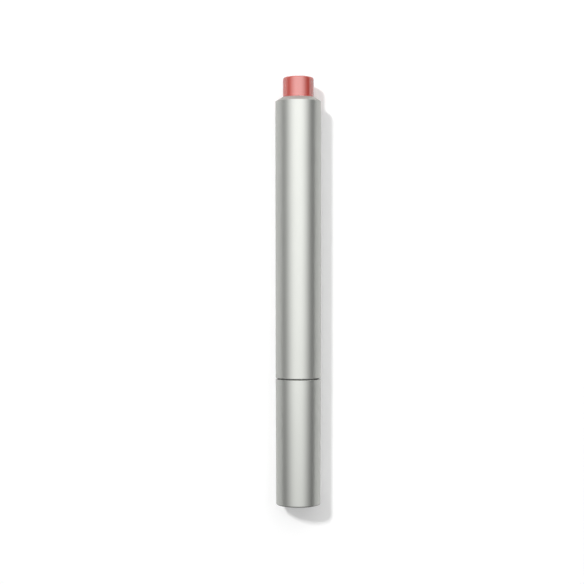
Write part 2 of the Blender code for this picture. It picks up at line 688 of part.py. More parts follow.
def ratchet_rotor():
    """Sleeve with a double-D hole that turns the rod, and a flange with ratchet teeth on both faces."""
    rotor = turned(
        "ratchet_rotor",
        [
            (CAM_OUTER, ROTOR_TOP_Z),
            (CAM_OUTER, ROTOR_FLANGE_TOP_Z),
            (ROTOR_FLANGE, ROTOR_FLANGE_TOP_Z),
            (ROTOR_FLANGE, ROTOR_LOWER_TIP_Z),
            (FIXED_CAM_BORE, ROTOR_LOWER_TIP_Z),
            (FIXED_CAM_BORE, ROTOR_FLANGE_BOTTOM_Z),
            (ROTOR_SLEEVE, ROTOR_FLANGE_BOTTOM_Z),
            (ROTOR_SLEEVE, ROTOR_BOTTOM_Z),
            (ROTOR_PILOT, ROTOR_BOTTOM_Z),
            (ROTOR_PILOT, ROTOR_DRIVE_TOP_Z),
            (ROTOR_BORE, ROTOR_DRIVE_TOP_Z),
            (ROTOR_BORE, ROTOR_FLANGE_TOP_Z),
            (CAM_TOOTH_BORE, ROTOR_FLANGE_TOP_Z),
            (CAM_TOOTH_BORE, ROTOR_TOP_Z),
        ],
        INNER_STEPS,
    )
    hole_low = ROTOR_BOTTOM_Z - CUT_OVERRUN
    hole_high = ROTOR_DRIVE_TOP_Z + CUT_OVERRUN
    hole = as_cutter(
        turned(
            "rotor_drive_hole",
            [
                (0, hole_high),
                (ROD_RADIUS + RUNNING_GAP, hole_high),
                (ROD_RADIUS + RUNNING_GAP, hole_low),
                (0, hole_low),
            ],
            SMALL_STEPS,
            cutters,
        )
    )
    half_width = ROD_HALF_FLATS + RUNNING_GAP
    flats = flats_cutter("rotor_drive_flats", half_width, hole_low, hole_high, 2 * ROD_RADIUS)
    combine(hole, flats, "DIFFERENCE")
    combine(rotor, hole, "DIFFERENCE")
    upper = tooth_gap_cutter("rotor_upper_gaps", CAM_TOOTH_BORE, CAM_OUTER, ROTOR_TOP_Z, 1, -1)
    combine(rotor, upper, "DIFFERENCE")
    lower = tooth_gap_cutter("rotor_lower_gaps", FIXED_CAM_BORE, ROTOR_FLANGE, ROTOR_LOWER_TIP_Z, -1, 1)
    combine(rotor, lower, "DIFFERENCE")
    return rotor


def thrust_washer():
    """Thin washer between the spring and the rotor, so that the rotor can turn on the spring's end."""
    return turned(
        "thrust_washer",
        [
            (SPRING_OUTER, WASHER_TOP_Z),
            (SPRING_OUTER, WASHER_TOP_Z - WASHER_THICKNESS),
            (ROTOR_SLEEVE + RUNNING_GAP, WASHER_TOP_Z - WASHER_THICKNESS),
            (ROTOR_SLEEVE + RUNNING_GAP, WASHER_TOP_Z),
        ],
        SMALL_STEPS,
    )


def spring_height(turn):
    """Height of the spring's wire after some turns. The first and last turns lie closer together."""
    low = SPRING_BOTTOM_Z + SPRING_WIRE / 2
    high = SPRING_TOP_Z - SPRING_WIRE / 2
    end_pitch = SPRING_WIRE + SPRING_END_GAP
    middle_pitch = (high - low - 2 * end_pitch) / (SPRING_TURNS - 2)
    if turn < 1:
        return low + end_pitch * turn
    if turn > SPRING_TURNS - 1:
        return high - end_pitch * (SPRING_TURNS - turn)
    return low + end_pitch + middle_pitch * (turn - 1)


def return_spring():
    """Steel compression spring on the rotor's sleeve, as one unbroken wire."""
    curve = bpy.data.curves.new("return_spring", "CURVE")
    curve.dimensions = "3D"
    curve.bevel_depth = SPRING_WIRE / 2
    curve.bevel_resolution = 1
    curve.use_fill_caps = True
    wire = curve.splines.new("POLY")
    count = SPRING_TURNS * SPRING_POINTS_PER_TURN
    wire.points.add(count)
    for step, point in enumerate(wire.points):
        turn = step / SPRING_POINTS_PER_TURN
        angle = 2 * math.pi * turn
        height = spring_height(turn) - SPRING_BOTTOM_Z
        point.co = (SPRING_RADIUS * math.cos(angle), SPRING_RADIUS * math.sin(angle), height, 1)
    spring = bpy.data.objects.new("return_spring", curve)
    parts.objects.link(spring)
    spring.location.z = SPRING_BOTTOM_Z
    turns = [spring_height(turn + 1) - spring_height(turn) for turn in range(SPRING_TURNS)]
    print("Least gap between the spring's turns, in metres:", round(min(turns) - SPRING_WIRE, 6))
    return spring


def screw_rod():
    """Rod with two flats along its thread, and a head that snaps into the piston."""
    rod = turned(
        "screw_rod",
        [
            (0, ROD_TOP_Z),
            (ROD_RADIUS - ROD_END_CHAMFER, ROD_TOP_Z),
            (ROD_RADIUS, ROD_TOP_Z - ROD_END_CHAMFER),
            (ROD_RADIUS, ROD_THREAD_Z),
            (ROD_NECK_RADIUS, ROD_THREAD_Z),
            (ROD_NECK_RADIUS, ROD_HEAD_TOP_Z),
            (ROD_HEAD_RADIUS, ROD_HEAD_TOP_Z),
            (ROD_HEAD_RADIUS, ROD_BOTTOM_Z + ROD_END_CHAMFER),
            (ROD_HEAD_RADIUS - ROD_END_CHAMFER, ROD_BOTTOM_Z),
            (0, ROD_BOTTOM_Z),
        ],
        SMALL_STEPS,
    )
    flats_low = ROD_THREAD_Z - CUT_OVERRUN
    flats_high = ROD_TOP_Z + CUT_OVERRUN
    flats = flats_cutter("rod_flats", ROD_HALF_FLATS, flats_low, flats_high, 2 * ROD_RADIUS)
    combine(rod, flats, "DIFFERENCE")
    return rod


def thread_collar():
    """Fixed collar that closes the reservoir's rear end and holds the thread that the rod screws through.

    Ribs in its core tie the threaded hub to the skirt.
    """
    bore = ROD_RADIUS + RUNNING_GAP
    skirt_inside = PISTON_OUTER - COLLAR_SKIRT_WALL
    core_top = COLLAR_BOTTOM_Z + COLLAR_CORE_DEPTH
    collar = turned(
        "thread_collar",
        [
            (BARREL_LINING, COLLAR_TOP_Z),
            (BARREL_LINING, COLLAR_FLANGE_Z),
            (PISTON_OUTER, COLLAR_FLANGE_Z),
            (PISTON_OUTER, COLLAR_BOTTOM_Z),
            (skirt_inside, COLLAR_BOTTOM_Z),
            (skirt_inside, core_top),
            (bore + COLLAR_HUB_WALL, core_top),
            (bore + COLLAR_HUB_WALL, COLLAR_BOTTOM_Z),
            (bore, COLLAR_BOTTOM_Z),
            (bore, COLLAR_TOP_Z),
        ],
        INNER_STEPS,
    )
    notches = block_cutter(
        "collar_notches",
        (BARREL_LINING - TAB_DEPTH - RUNNING_GAP, -TAB_WIDTH / 2 - RUNNING_GAP, COLLAR_FLANGE_Z - CUT_OVERRUN),
        (BARREL_LINING + TAB_DEPTH, TAB_WIDTH / 2 + RUNNING_GAP, COLLAR_TOP_Z + CUT_OVERRUN),
        TAB_COUNT,
    )
    combine(collar, notches, "DIFFERENCE")
    ribs = block_cutter(
        "collar_ribs",
        (bore + COLLAR_HUB_WALL / 2, -COLLAR_RIB_WIDTH / 2, COLLAR_BOTTOM_Z + COLLAR_RIB_RECESS),
        (skirt_inside + COLLAR_SKIRT_WALL / 2, COLLAR_RIB_WIDTH / 2, core_top + COLLAR_SKIRT_WALL / 2),
        COLLAR_RIB_COUNT,
    )
    combine(collar, ribs, "UNION")
    return collar


def reservoir():
    """Moulded tube for the liquid. Its neck stands out of the barrel, with the bead that holds the cap."""
    bead_z = CAP_LENGTH - BEAD_PLACE
    shoulder_z = BARREL_FRONT_Z + RESERVOIR_RECESS
    return turned(
        "reservoir",
        [
            (BARREL_LINING, RESERVOIR_REAR_Z),
            (BARREL_LINING, shoulder_z + RESERVOIR_SHOULDER),
            (NECK_OUTER, shoulder_z),
            (NECK_OUTER, bead_z + BEAD_WIDTH / 2),
            (BEAD_OUTER, bead_z + BEAD_WIDTH / 4),
            (BEAD_OUTER, bead_z - BEAD_WIDTH / 4),
            (NECK_OUTER, bead_z - BEAD_WIDTH / 2),
            (NECK_OUTER, NECK_END_Z + SLEEVE_LIP_CHAMFER),
            (NECK_OUTER - SLEEVE_LIP_CHAMFER, NECK_END_Z),
            (NECK_BORE, NECK_END_Z),
            (NECK_BORE, CHAMBER_FLOOR_Z - CHAMBER_CONE_HEIGHT),
            (CHAMBER_BORE, CHAMBER_FLOOR_Z),
            (CHAMBER_BORE, RESERVOIR_REAR_Z),
        ],
        INNER_STEPS,
    )


def seal_groove(outer, centre, thickness):
    """The four corners of a groove for a rubber ring, from the top down."""
    half_width = thickness / 2 + SEAL_GROOVE_SIDE_GAP
    floor = outer - thickness - RUNNING_GAP
    return [
        (outer, centre + half_width),
        (floor, centre + half_width),
        (floor, centre - half_width),
        (outer, centre - half_width),
    ]


def seal_ring(name, outer, centre, thickness):
    """A rubber ring in its groove."""
    bpy.ops.mesh.primitive_torus_add(
        major_segments=INNER_STEPS,
        minor_segments=SEAL_STEPS,
        major_radius=outer - thickness / 2,
        minor_radius=thickness / 2,
        location=(0, 0, centre),
    )
    ring = bpy.context.active_object
    ring.name = name
    ring.data.name = name
    for owner in list(ring.users_collection):
        owner.objects.unlink(ring)
    parts.objects.link(ring)
    return ring


def piston():
    """Plastic piston with two seal grooves, a nose that fits the chamber's floor, and the rod's socket."""
    socket = ROD_HEAD_RADIUS + RUNNING_GAP
    lip = ROD_NECK_RADIUS + RUNNING_GAP
    lip_z = PISTON_REAR_Z - PISTON_LIP_WALL
    nose_z = PISTON_FRONT_Z - PISTON_CONE_HEIGHT
    return turned(
        "piston",
        [
            (0, ROD_BOTTOM_Z - SEAT_GAP),
            (socket, ROD_BOTTOM_Z - SEAT_GAP),
            (socket, lip_z),
            (lip, lip_z),
            (lip, PISTON_REAR_Z),
            (PISTON_OUTER, PISTON_REAR_Z),
            *seal_groove(PISTON_OUTER, PISTON_REAR_Z - PISTON_SEAL_PLACE, PISTON_SEAL_THICKNESS),
            *seal_groove(PISTON_OUTER, PISTON_FRONT_Z + PISTON_SEAL_PLACE, PISTON_SEAL_THICKNESS),
            (PISTON_OUTER, PISTON_FRONT_Z),
            (NECK_BORE, nose_z),
            (0, nose_z),
        ],
        INNER_STEPS,
    )


def nozzle():
    """Plastic tip pressed into the neck, with a seal groove, a socket for the brush and a bore for the tube."""
    cone_top = NOZZLE_TOP_Z - NOZZLE_FLANGE_HEIGHT
    spigot_top = NOZZLE_TOP_Z + NOZZLE_SPIGOT_LENGTH
    socket_top = NOZZLE_TIP_Z + NOZZLE_SOCKET_DEPTH
    cone = []
    for step in range(NOZZLE_CURVE_STEPS + 1):
        height = cone_top + (NOZZLE_TIP_Z - cone_top) * step / NOZZLE_CURVE_STEPS
        cone.append((nozzle_radius(height), height))
    return turned(
        "nozzle",
        [
            (NOZZLE_SPIGOT, spigot_top),
            *seal_groove(NOZZLE_SPIGOT, NOZZLE_TOP_Z + NOZZLE_SEAL_PLACE, NOZZLE_SEAL_THICKNESS),
            (NOZZLE_SPIGOT, NOZZLE_TOP_Z),
            (NECK_OUTER, NOZZLE_TOP_Z),
            (NECK_OUTER, cone_top),
            *cone,
            (NOZZLE_SOCKET, NOZZLE_TIP_Z),
            (NOZZLE_SOCKET, socket_top),
            (NOZZLE_BORE, socket_top),
            (NOZZLE_BORE, spigot_top),
        ],
        INNER_STEPS,
    )


def plain_tube(name, outer, inner, low, high):
    """A small straight tube on the pen's axis."""
    outline = [(outer, high), (outer, low), (inner, low), (inner, high)]
    return turned(name, outline, SMALL_STEPS)


def strand_scale(height, root_z):
    """How far the tuft has drawn in at a height, as a share of its width at the root."""
    return 1 - (1 - STRAND_TIP_SHARE) * (root_z - height) / (root_z - BRUSH_TIP_Z)


def brush_bristles():
    """Nylon tuft: straight strands that draw in together towards the tip, fused to a slice of backing.

    At each height the whole tuft is the root's pattern scaled down, strands included, so none can cross.
    """
    backing_top = NOZZLE_TIP_Z + NOZZLE_SOCKET_DEPTH - SEAT_GAP
    backing_low = backing_top - STRAND_BACKING
    root_z = backing_low + STRAND_ROOT_DEPTH
    backing = plain_tube("brush_bristles", BRUSH_ROOT, NOZZLE_BORE, backing_low, backing_top)
    inner = FEED_TUBE_OUTER + SEAT_GAP
    outer = BRUSH_ROOT - STRAND_MARGIN
    spacing = math.sqrt(math.pi * (outer**2 - inner**2) / STRAND_COUNT)
    thickness = STRAND_THICKNESS_SHARE * spacing
    shape = bmesh.new()
    for strand in range(STRAND_COUNT):
        share = (strand + 0.5) / STRAND_COUNT
        radius = math.sqrt(inner**2 + (outer**2 - inner**2) * share)
        angle = GOLDEN_ANGLE * strand
        tip_z = BRUSH_TIP_Z + STRAND_DOME * (radius / outer) ** 2
        scale = strand_scale(tip_z, root_z)
        root = Vector((radius * math.cos(angle), radius * math.sin(angle), root_z))
        tip = Vector((root.x * scale, root.y * scale, tip_z))
        along = tip - root
        place = Matrix.Translation((root + tip) / 2) @ along.to_track_quat("Z", "Y").to_matrix().to_4x4()
        bmesh.ops.create_cone(
            shape,
            cap_ends=True,
            segments=STRAND_SIDES,
            radius1=thickness / 2,
            radius2=thickness / 2 * scale,
            depth=along.length,
            matrix=place,
        )
    strands = mesh_cutter("brush_strands", shape)
    combine(backing, strands, "UNION")
    return backing


remove_objects()
parts = new_collection("click_pen")
cutters = new_collection("cutters")

silver = finish_of("satin_silver", SILVER, 0.32, 1.0)
coral = finish_of("coral_plastic", CORAL, 0.35)
white = finish_of("white_plastic", WHITE_PLASTIC, 0.45)
natural = finish_of("natural_plastic", NATURAL_PLASTIC, 0.35)
acetal = finish_of("acetal", ACETAL, 0.4)
rubber = finish_of("dark_rubber", DARK_RUBBER, 0.7)
steel = finish_of("steel", STEEL, 0.25, 1.0)
nylon = finish_of("nylon", NYLON, 0.4)

pen = joint_empty("pen", 0, None)
cap_joint = joint_empty("cap_joint", BARREL_FRONT_Z, pen)
button_joint = joint_empty("button_joint", BUTTON_BOTTOM_Z, pen)
rotor_joint = joint_empty("rotor_joint", ROTOR_FLANGE_BOTTOM_Z, button_joint)
piston_joint = joint_empty("piston_joint", PISTON_FRONT_Z, pen)
rod_joint = joint_empty("rod_joint", ROD_BOTTOM_Z, piston_joint)

front_seal_z = PISTON_FRONT_Z + PISTON_SEAL_PLACE
rear_seal_z = PISTON_REAR_Z - PISTON_SEAL_PLACE
nozzle_seal_z = NOZZLE_TOP_Z + NOZZLE_SEAL_PLACE
feed_tube_low = NOZZLE_TIP_Z - FEED_TUBE_STAND
feed_tube_high = NOZZLE_TIP_Z + NOZZLE_SOCKET_DEPTH + FEED_TUBE_INSIDE
ferrule_low = NOZZLE_TIP_Z - FERRULE_STAND
ferrule_high = NOZZLE_TIP_Z + NOZZLE_SOCKET_DEPTH - SEAT_GAP

assembly = [
    (cap_sleeve(), silver, cap_joint),
    (cap_liner(), white, cap_joint),
    (barrel_sleeve(), silver, pen),
    (reservoir(), natural, pen),
    (nozzle(), white, pen),
    (seal_ring("nozzle_seal", NOZZLE_SPIGOT, nozzle_seal_z, NOZZLE_SEAL_THICKNESS), rubber, pen),
    (plain_tube("feed_tube", FEED_TUBE_OUTER, FEED_TUBE_BORE / 2, feed_tube_low, feed_tube_high), steel, pen),
    (plain_tube("brush_ferrule", FERRULE_OUTER, FERRULE_BORE, ferrule_low, ferrule_high), white, pen),
    (brush_bristles(), nylon, pen),
    (thread_collar(), acetal, pen),
    (mechanism_housing(), white, pen),
    (fixed_cam(), acetal, pen),
    (tail_guide(), acetal, pen),
    (push_button(), coral, button_joint),
    (button_cam(), acetal, button_joint),
    (thrust_washer(), steel, button_joint),
    (ratchet_rotor(), acetal, rotor_joint),
    (piston(), natural, piston_joint),
    (seal_ring("piston_seal_front", PISTON_OUTER, front_seal_z, PISTON_SEAL_THICKNESS), rubber, piston_joint),
    (seal_ring("piston_seal_rear", PISTON_OUTER, rear_seal_z, PISTON_SEAL_THICKNESS), rubber, piston_joint),
    (screw_rod(), acetal, rod_joint),
]
for piece, material, joint in assembly:
    hang(settle(piece, material), joint)

spring = return_spring()
spring.data.materials.append(steel)
hang(spring, pen)

print("Stroke of the piston, in metres:", round(STROKE, 5))
print("Liquid that the pen holds, in cubic metres:", round(math.pi * CHAMBER_BORE**2 * STROKE, 9))
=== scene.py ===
"""Looks of a click-dispenser pen for a liquid nail treatment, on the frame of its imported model."""

import math
import random

import bmesh
import bpy
from mathutils import Matrix, Vector


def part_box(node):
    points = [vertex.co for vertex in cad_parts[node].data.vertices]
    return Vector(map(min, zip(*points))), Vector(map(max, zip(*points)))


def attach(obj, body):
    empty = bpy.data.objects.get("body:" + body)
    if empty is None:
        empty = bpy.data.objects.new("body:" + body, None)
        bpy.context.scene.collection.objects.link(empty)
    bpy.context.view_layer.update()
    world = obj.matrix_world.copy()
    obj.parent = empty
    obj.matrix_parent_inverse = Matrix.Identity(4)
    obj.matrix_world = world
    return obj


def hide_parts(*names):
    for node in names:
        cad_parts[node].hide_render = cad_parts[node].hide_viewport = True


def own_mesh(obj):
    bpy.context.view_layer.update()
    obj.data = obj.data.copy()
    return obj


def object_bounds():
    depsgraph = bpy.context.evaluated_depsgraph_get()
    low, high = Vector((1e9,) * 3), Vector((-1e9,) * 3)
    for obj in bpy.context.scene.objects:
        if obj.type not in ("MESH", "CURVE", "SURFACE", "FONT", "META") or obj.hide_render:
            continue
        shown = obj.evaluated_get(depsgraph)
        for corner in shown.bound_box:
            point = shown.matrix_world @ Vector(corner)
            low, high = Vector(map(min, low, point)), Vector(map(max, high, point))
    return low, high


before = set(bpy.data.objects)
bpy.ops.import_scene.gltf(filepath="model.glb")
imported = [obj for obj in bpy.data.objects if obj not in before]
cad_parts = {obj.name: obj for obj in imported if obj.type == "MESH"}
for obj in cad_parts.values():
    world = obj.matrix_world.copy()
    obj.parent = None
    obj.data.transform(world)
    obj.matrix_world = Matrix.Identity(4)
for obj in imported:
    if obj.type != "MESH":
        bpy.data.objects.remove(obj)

cad_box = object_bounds()
scene = bpy.context.scene
scene.view_settings.view_transform = "Standard"

# Reservoir: a tube moulded in natural plastic, slightly translucent. Its narrow neck stands out of the
# barrel, with the bead that the cap's liner snaps over. The mechanism closes it at the rear.
CHAMBER_WALL = 0.0006
CHAMBER_FLOOR_Z = 0.03865
CHAMBER_CONE = 0.0009
RESERVOIR_SHOULDER_Z = 0.03695
RESERVOIR_SHOULDER = 0.0006
NECK_RADIUS = 0.0046
NECK_BORE = 0.0036
NECK_EDGE = 0.00015
BEAD_Z = 0.03265
BEAD_RADIUS = 0.0005
BEAD_STAND = 0.00025
MOULDED_STEPS = 128
ARC_STEPS = 8
MERGE_DISTANCE = 0.0000002
SHARP_ANGLE = math.radians(35)
CLOUD_DETAIL = 3.0
GRAIN_DETAIL = 2.0
MOULD_CLOUDS = (220, 220, 90)
MOULD_GRAIN = (6000, 6000, 6000)
NATURAL_SHADES = ((0.74, 0.76, 0.73), (0.82, 0.83, 0.80))
NATURAL_GLOSS = (0.30, 0.42)
NATURAL_RELIEF = 0.000001
NATURAL_SCATTER = 0.25
NATURAL_SCATTER_REACH = (0.0012, 0.0012, 0.0011)


def arc(centre, radius, start, end, steps=ARC_STEPS):
    """Points (radius, height) of an arc in a turned outline, with angles from the outward direction."""
    points = []
    for step in range(steps + 1):
        angle = math.radians(start + (end - start) * step / steps)
        points.append((centre[0] + radius * math.cos(angle), centre[1] + radius * math.sin(angle)))
    return points


def turned_shape(outline, steps=MOULDED_STEPS):
    """Turn an outline of (radius, height) about the pen's axis. It is closed where it leaves the axis."""
    shape = bmesh.new()
    points = [shape.verts.new((radius, 0, height)) for radius, height in outline]
    for first, second in zip(points, points[1:]):
        shape.edges.new((first, second))
    if outline[0][0] > 0 or outline[-1][0] > 0:
        shape.edges.new((points[-1], points[0]))
    bmesh.ops.spin(
        shape,
        geom=[*shape.verts, *shape.edges],
        cent=(0, 0, 0),
        axis=(0, 0, 1),
        angle=2 * math.pi,
        steps=steps,
        use_merge=True,
    )
    bmesh.ops.remove_doubles(shape, verts=shape.verts, dist=MERGE_DISTANCE)
    bmesh.ops.recalc_face_normals(shape, faces=shape.faces)
    return shape


def fit_piece(name, shape, finish, body, slot, *stands_for):
    """Make a shape a piece that rides on its body, takes its finish and replaces the plain nodes."""
    mesh = bpy.data.meshes.new(name)
    shape.to_mesh(mesh)
    shape.free()
    mesh.materials.append(finish)
    mesh.shade_smooth()
    mesh.set_sharp_from_angle(angle=SHARP_ANGLE)
    piece = bpy.data.objects.new(name, mesh)
    scene.collection.objects.link(piece)
    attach(piece, body)
    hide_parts(*stands_for)
    return piece


def new_finish(name, roughness, metallic=0.0):
    """A Principled material."""
    finish = bpy.data.materials.new(name)
    finish.use_nodes = True
    shader_of(finish).inputs["Roughness"].default_value = roughness
    shader_of(finish).inputs["Metallic"].default_value = metallic
    return finish


def shader_of(finish):
    """The Principled shader of a finish."""
    return finish.node_tree.nodes["Principled BSDF"]


def mottle(finish, cells, detail):
    """Noise fixed to the piece, with a number of cells per metre along each of its axes."""
    tree = finish.node_tree
    place = tree.nodes.new("ShaderNodeTexCoord")
    mapping = tree.nodes.new("ShaderNodeMapping")
    mapping.inputs["Scale"].default_value = cells
    noise = tree.nodes.new("ShaderNodeTexNoise")
    noise.inputs["Scale"].default_value = 1.0
    noise.inputs["Detail"].default_value = detail
    tree.links.new(place.outputs["Object"], mapping.inputs["Vector"])
    tree.links.new(mapping.outputs["Vector"], noise.inputs["Vector"])
    return noise.outputs["Fac"]


def rescaled(tree, value, before, after):
    """A value carried from one range over to another, and held within it."""
    spread = tree.nodes.new("ShaderNodeMapRange")
    for name, number in zip(("From Min", "From Max", "To Min", "To Max"), (*before, *after)):
        spread.inputs[name].default_value = number
    tree.links.new(value, spread.inputs["Value"])
    return spread.outputs["Result"]


def shade_between(finish, pattern, shades):
    """Let the colour wander between a dark and a light shade."""
    dark, light = shades
    blend = finish.node_tree.nodes.new("ShaderNodeMix")
    blend.data_type = "RGBA"
    blend.inputs["A"].default_value = (*dark, 1)
    blend.inputs["B"].default_value = (*light, 1)
    finish.node_tree.links.new(pattern, blend.inputs["Factor"])
    finish.node_tree.links.new(blend.outputs["Result"], shader_of(finish).inputs["Base Color"])


def gloss_between(finish, pattern, gloss):
    """Let the roughness wander between two values."""
    roughness = rescaled(finish.node_tree, pattern, (0, 1), gloss)
    finish.node_tree.links.new(roughness, shader_of(finish).inputs["Roughness"])


def skin_relief(finish, pattern, height):
    """Relief of the skin, of a height in metres."""
    relief = finish.node_tree.nodes.new("ShaderNodeBump")
    relief.inputs["Strength"].default_value = 1.0
    relief.inputs["Distance"].default_value = height
    finish.node_tree.links.new(pattern, relief.inputs["Height"])
    finish.node_tree.links.new(relief.outputs["Normal"], shader_of(finish).inputs["Normal"])


def scatter_below(finish, share, reach):
    """Let a share of the light scatter below the skin, as far as red, green and blue reach."""
    shader_of(finish).inputs["Subsurface Weight"].default_value = share
    shader_of(finish).inputs["Subsurface Radius"].default_value = reach


def grained_finish(name, shades, gloss, relief, clouds=MOULD_CLOUDS, grain=MOULD_GRAIN, metallic=0.0):
    """A finish with slow clouds of shade and a fine grain, which changes its gloss and stands in relief."""
    finish = new_finish(name, gloss[0], metallic)
    shade_between(finish, mottle(finish, clouds, CLOUD_DETAIL), shades)
    skin = mottle(finish, grain, GRAIN_DETAIL)
    gloss_between(finish, skin, gloss)
    skin_relief(finish, skin, relief)
    return finish


natural_plastic = grained_finish("natural_plastic", NATURAL_SHADES, NATURAL_GLOSS, NATURAL_RELIEF)
scatter_below(natural_plastic, NATURAL_SCATTER, NATURAL_SCATTER_REACH)
reservoir_low, reservoir_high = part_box("reservoir")
lining = reservoir_high.x
chamber_bore = lining - CHAMBER_WALL
shoulder_centre = (lining - RESERVOIR_SHOULDER, RESERVOIR_SHOULDER_Z + RESERVOIR_SHOULDER)
bead_turn = math.degrees(math.acos(1 - BEAD_STAND / BEAD_RADIUS))
reservoir_outline = [
    (lining - NECK_EDGE, reservoir_high.z),
    (lining, reservoir_high.z - NECK_EDGE),
    *arc(shoulder_centre, RESERVOIR_SHOULDER, 0, -90),
    (NECK_RADIUS, RESERVOIR_SHOULDER_Z),
    (NECK_RADIUS, BEAD_Z + BEAD_RADIUS),
    *arc((NECK_RADIUS + BEAD_STAND - BEAD_RADIUS, BEAD_Z), BEAD_RADIUS, bead_turn, -bead_turn),
    (NECK_RADIUS, BEAD_Z - BEAD_RADIUS),
    *arc((NECK_RADIUS - NECK_EDGE, reservoir_low.z + NECK_EDGE), NECK_EDGE, 0, -90),
    (NECK_BORE, reservoir_low.z),
    (NECK_BORE, CHAMBER_FLOOR_Z - CHAMBER_CONE),
    (chamber_bore, CHAMBER_FLOOR_Z),
    (chamber_bore, reservoir_high.z),
]
reservoir = turned_shape(reservoir_outline)
fit_piece("reservoir_tube", reservoir, natural_plastic, "barrel", "natural_plastic", "reservoir")

# Nozzle: a white moulded tip, pressed into the neck over a rubber ring. It narrows in a soft curve to the
# socket that holds the brush, and a fine bore leads the liquid through it.
NOZZLE_FLANGE = 0.0010
NOZZLE_FLANGE_Z = 0.02685
NOZZLE_SPIGOT = 0.0035
NOZZLE_TIP_RADIUS = 0.0026
NOZZLE_EDGE = 0.00015
NOZZLE_SOCKET = 0.0021
NOZZLE_SOCKET_DEPTH = 0.0040
NOZZLE_BORE = 0.00045
NOZZLE_CURVE_STEPS = 16
GROOVE_SPARE = 0.0002
GROOVE_DEPTH = 0.0008
WHITE_SHADES = ((0.80, 0.80, 0.78), (0.87, 0.87, 0.85))
WHITE_GLOSS = (0.36, 0.48)
WHITE_RELIEF = 0.0000012

white_plastic = grained_finish("white_plastic", WHITE_SHADES, WHITE_GLOSS, WHITE_RELIEF)
nozzle_low, nozzle_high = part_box("nozzle")
seal_low, seal_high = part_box("nozzle_seal")
cone_top = NOZZLE_FLANGE_Z - NOZZLE_FLANGE
cone = []
for step in range(NOZZLE_CURVE_STEPS):
    rise = 1 - step / NOZZLE_CURVE_STEPS
    widening = (NECK_BORE - NOZZLE_TIP_RADIUS) * math.sin(rise * math.pi / 2)
    cone.append((NOZZLE_TIP_RADIUS + widening, nozzle_low.z + (cone_top - nozzle_low.z) * rise))
nozzle_outline = [
    (NOZZLE_SPIGOT - NOZZLE_EDGE, nozzle_high.z),
    (NOZZLE_SPIGOT, nozzle_high.z - NOZZLE_EDGE),
    (NOZZLE_SPIGOT, seal_high.z + GROOVE_SPARE),
    (NOZZLE_SPIGOT - GROOVE_DEPTH, seal_high.z + GROOVE_SPARE),
    (NOZZLE_SPIGOT - GROOVE_DEPTH, seal_low.z - GROOVE_SPARE),
    (NOZZLE_SPIGOT, seal_low.z - GROOVE_SPARE),
    (NOZZLE_SPIGOT, NOZZLE_FLANGE_Z),
    *arc((NECK_RADIUS - NOZZLE_EDGE, NOZZLE_FLANGE_Z - NOZZLE_EDGE), NOZZLE_EDGE, 90, 0),
    *arc((NECK_RADIUS - NOZZLE_EDGE, cone_top + NOZZLE_EDGE), NOZZLE_EDGE, 0, -90),
    *cone,
    *arc((NOZZLE_TIP_RADIUS - NOZZLE_EDGE, nozzle_low.z + NOZZLE_EDGE), NOZZLE_EDGE, 0, -90),
    (NOZZLE_SOCKET, nozzle_low.z),
    (NOZZLE_SOCKET, nozzle_low.z + NOZZLE_SOCKET_DEPTH),
    (NOZZLE_BORE, nozzle_low.z + NOZZLE_SOCKET_DEPTH),
    (NOZZLE_BORE, nozzle_high.z),
]
fit_piece("nozzle_tip", turned_shape(nozzle_outline), white_plastic, "barrel", "white_plastic", "nozzle")

# Three rubber rings: one seals the nozzle in the neck, and two seal the piston in the chamber. They are
# moulded in black rubber with a smooth skin.
RING_SECTION_STEPS = 24
RUBBER_SHADES = ((0.012, 0.012, 0.012), (0.030, 0.030, 0.031))
RUBBER_GLOSS = (0.50, 0.66)
RUBBER_RELIEF = 0.0000015

rubber = grained_finish("seal_rubber", RUBBER_SHADES, RUBBER_GLOSS, RUBBER_RELIEF)
for ring_node, ring_body in (
    ("nozzle_seal", "barrel"),
    ("piston_seal_front", "piston"),
    ("piston_seal_rear", "piston"),
):
    ring_low, ring_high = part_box(ring_node)
    section = (ring_high.z - ring_low.z) / 2
    centre = (ring_high.x - section, (ring_low.z + ring_high.z) / 2)
    ring_outline = arc(centre, section, 0, 360, RING_SECTION_STEPS)[:-1]
    fit_piece(ring_node + "_ring", turned_shape(ring_outline), rubber, ring_body, "seal_rubber", ring_node)

# Feed tube: a short length of fine drawn steel tube, deburred at both ends. It runs from the nozzle's bore
# into the middle of the brush.
TUBE_BORE = 0.0002
TUBE_EDGE = 0.00004
STEEL_SHADES = ((0.50, 0.50, 0.50), (0.62, 0.62, 0.61))
STEEL_GLOSS = (0.20, 0.32)
STEEL_RELIEF = 0.000001
STEEL_CLOUDS = (500, 500, 500)
STEEL_GRAIN = (9000, 9000, 900)


def deburred_outline(low, high, bore, edge):
    """The outline of a plain tube or washer between its box's corners, with its outer edges broken."""
    return [
        (high.x - edge, high.z),
        (high.x, high.z - edge),
        (high.x, low.z + edge),
        (high.x - edge, low.z),
        (bore, low.z),
        (bore, high.z),
    ]


steel = grained_finish(
    "drawn_steel", STEEL_SHADES, STEEL_GLOSS, STEEL_RELIEF, STEEL_CLOUDS, STEEL_GRAIN, metallic=1.0
)
feed_tube = turned_shape(deburred_outline(*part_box("feed_tube"), TUBE_BORE, TUBE_EDGE))
fit_piece("feed_tube_drawn", feed_tube, steel, "barrel", "steel", "feed_tube")

# Brush ferrule: a thin white ring pressed into the nozzle's socket. Its rounded lip stands just out of the
# nozzle and holds the tuft together.
FERRULE_WALL = 0.00025
FERRULE_LIP = 0.00012

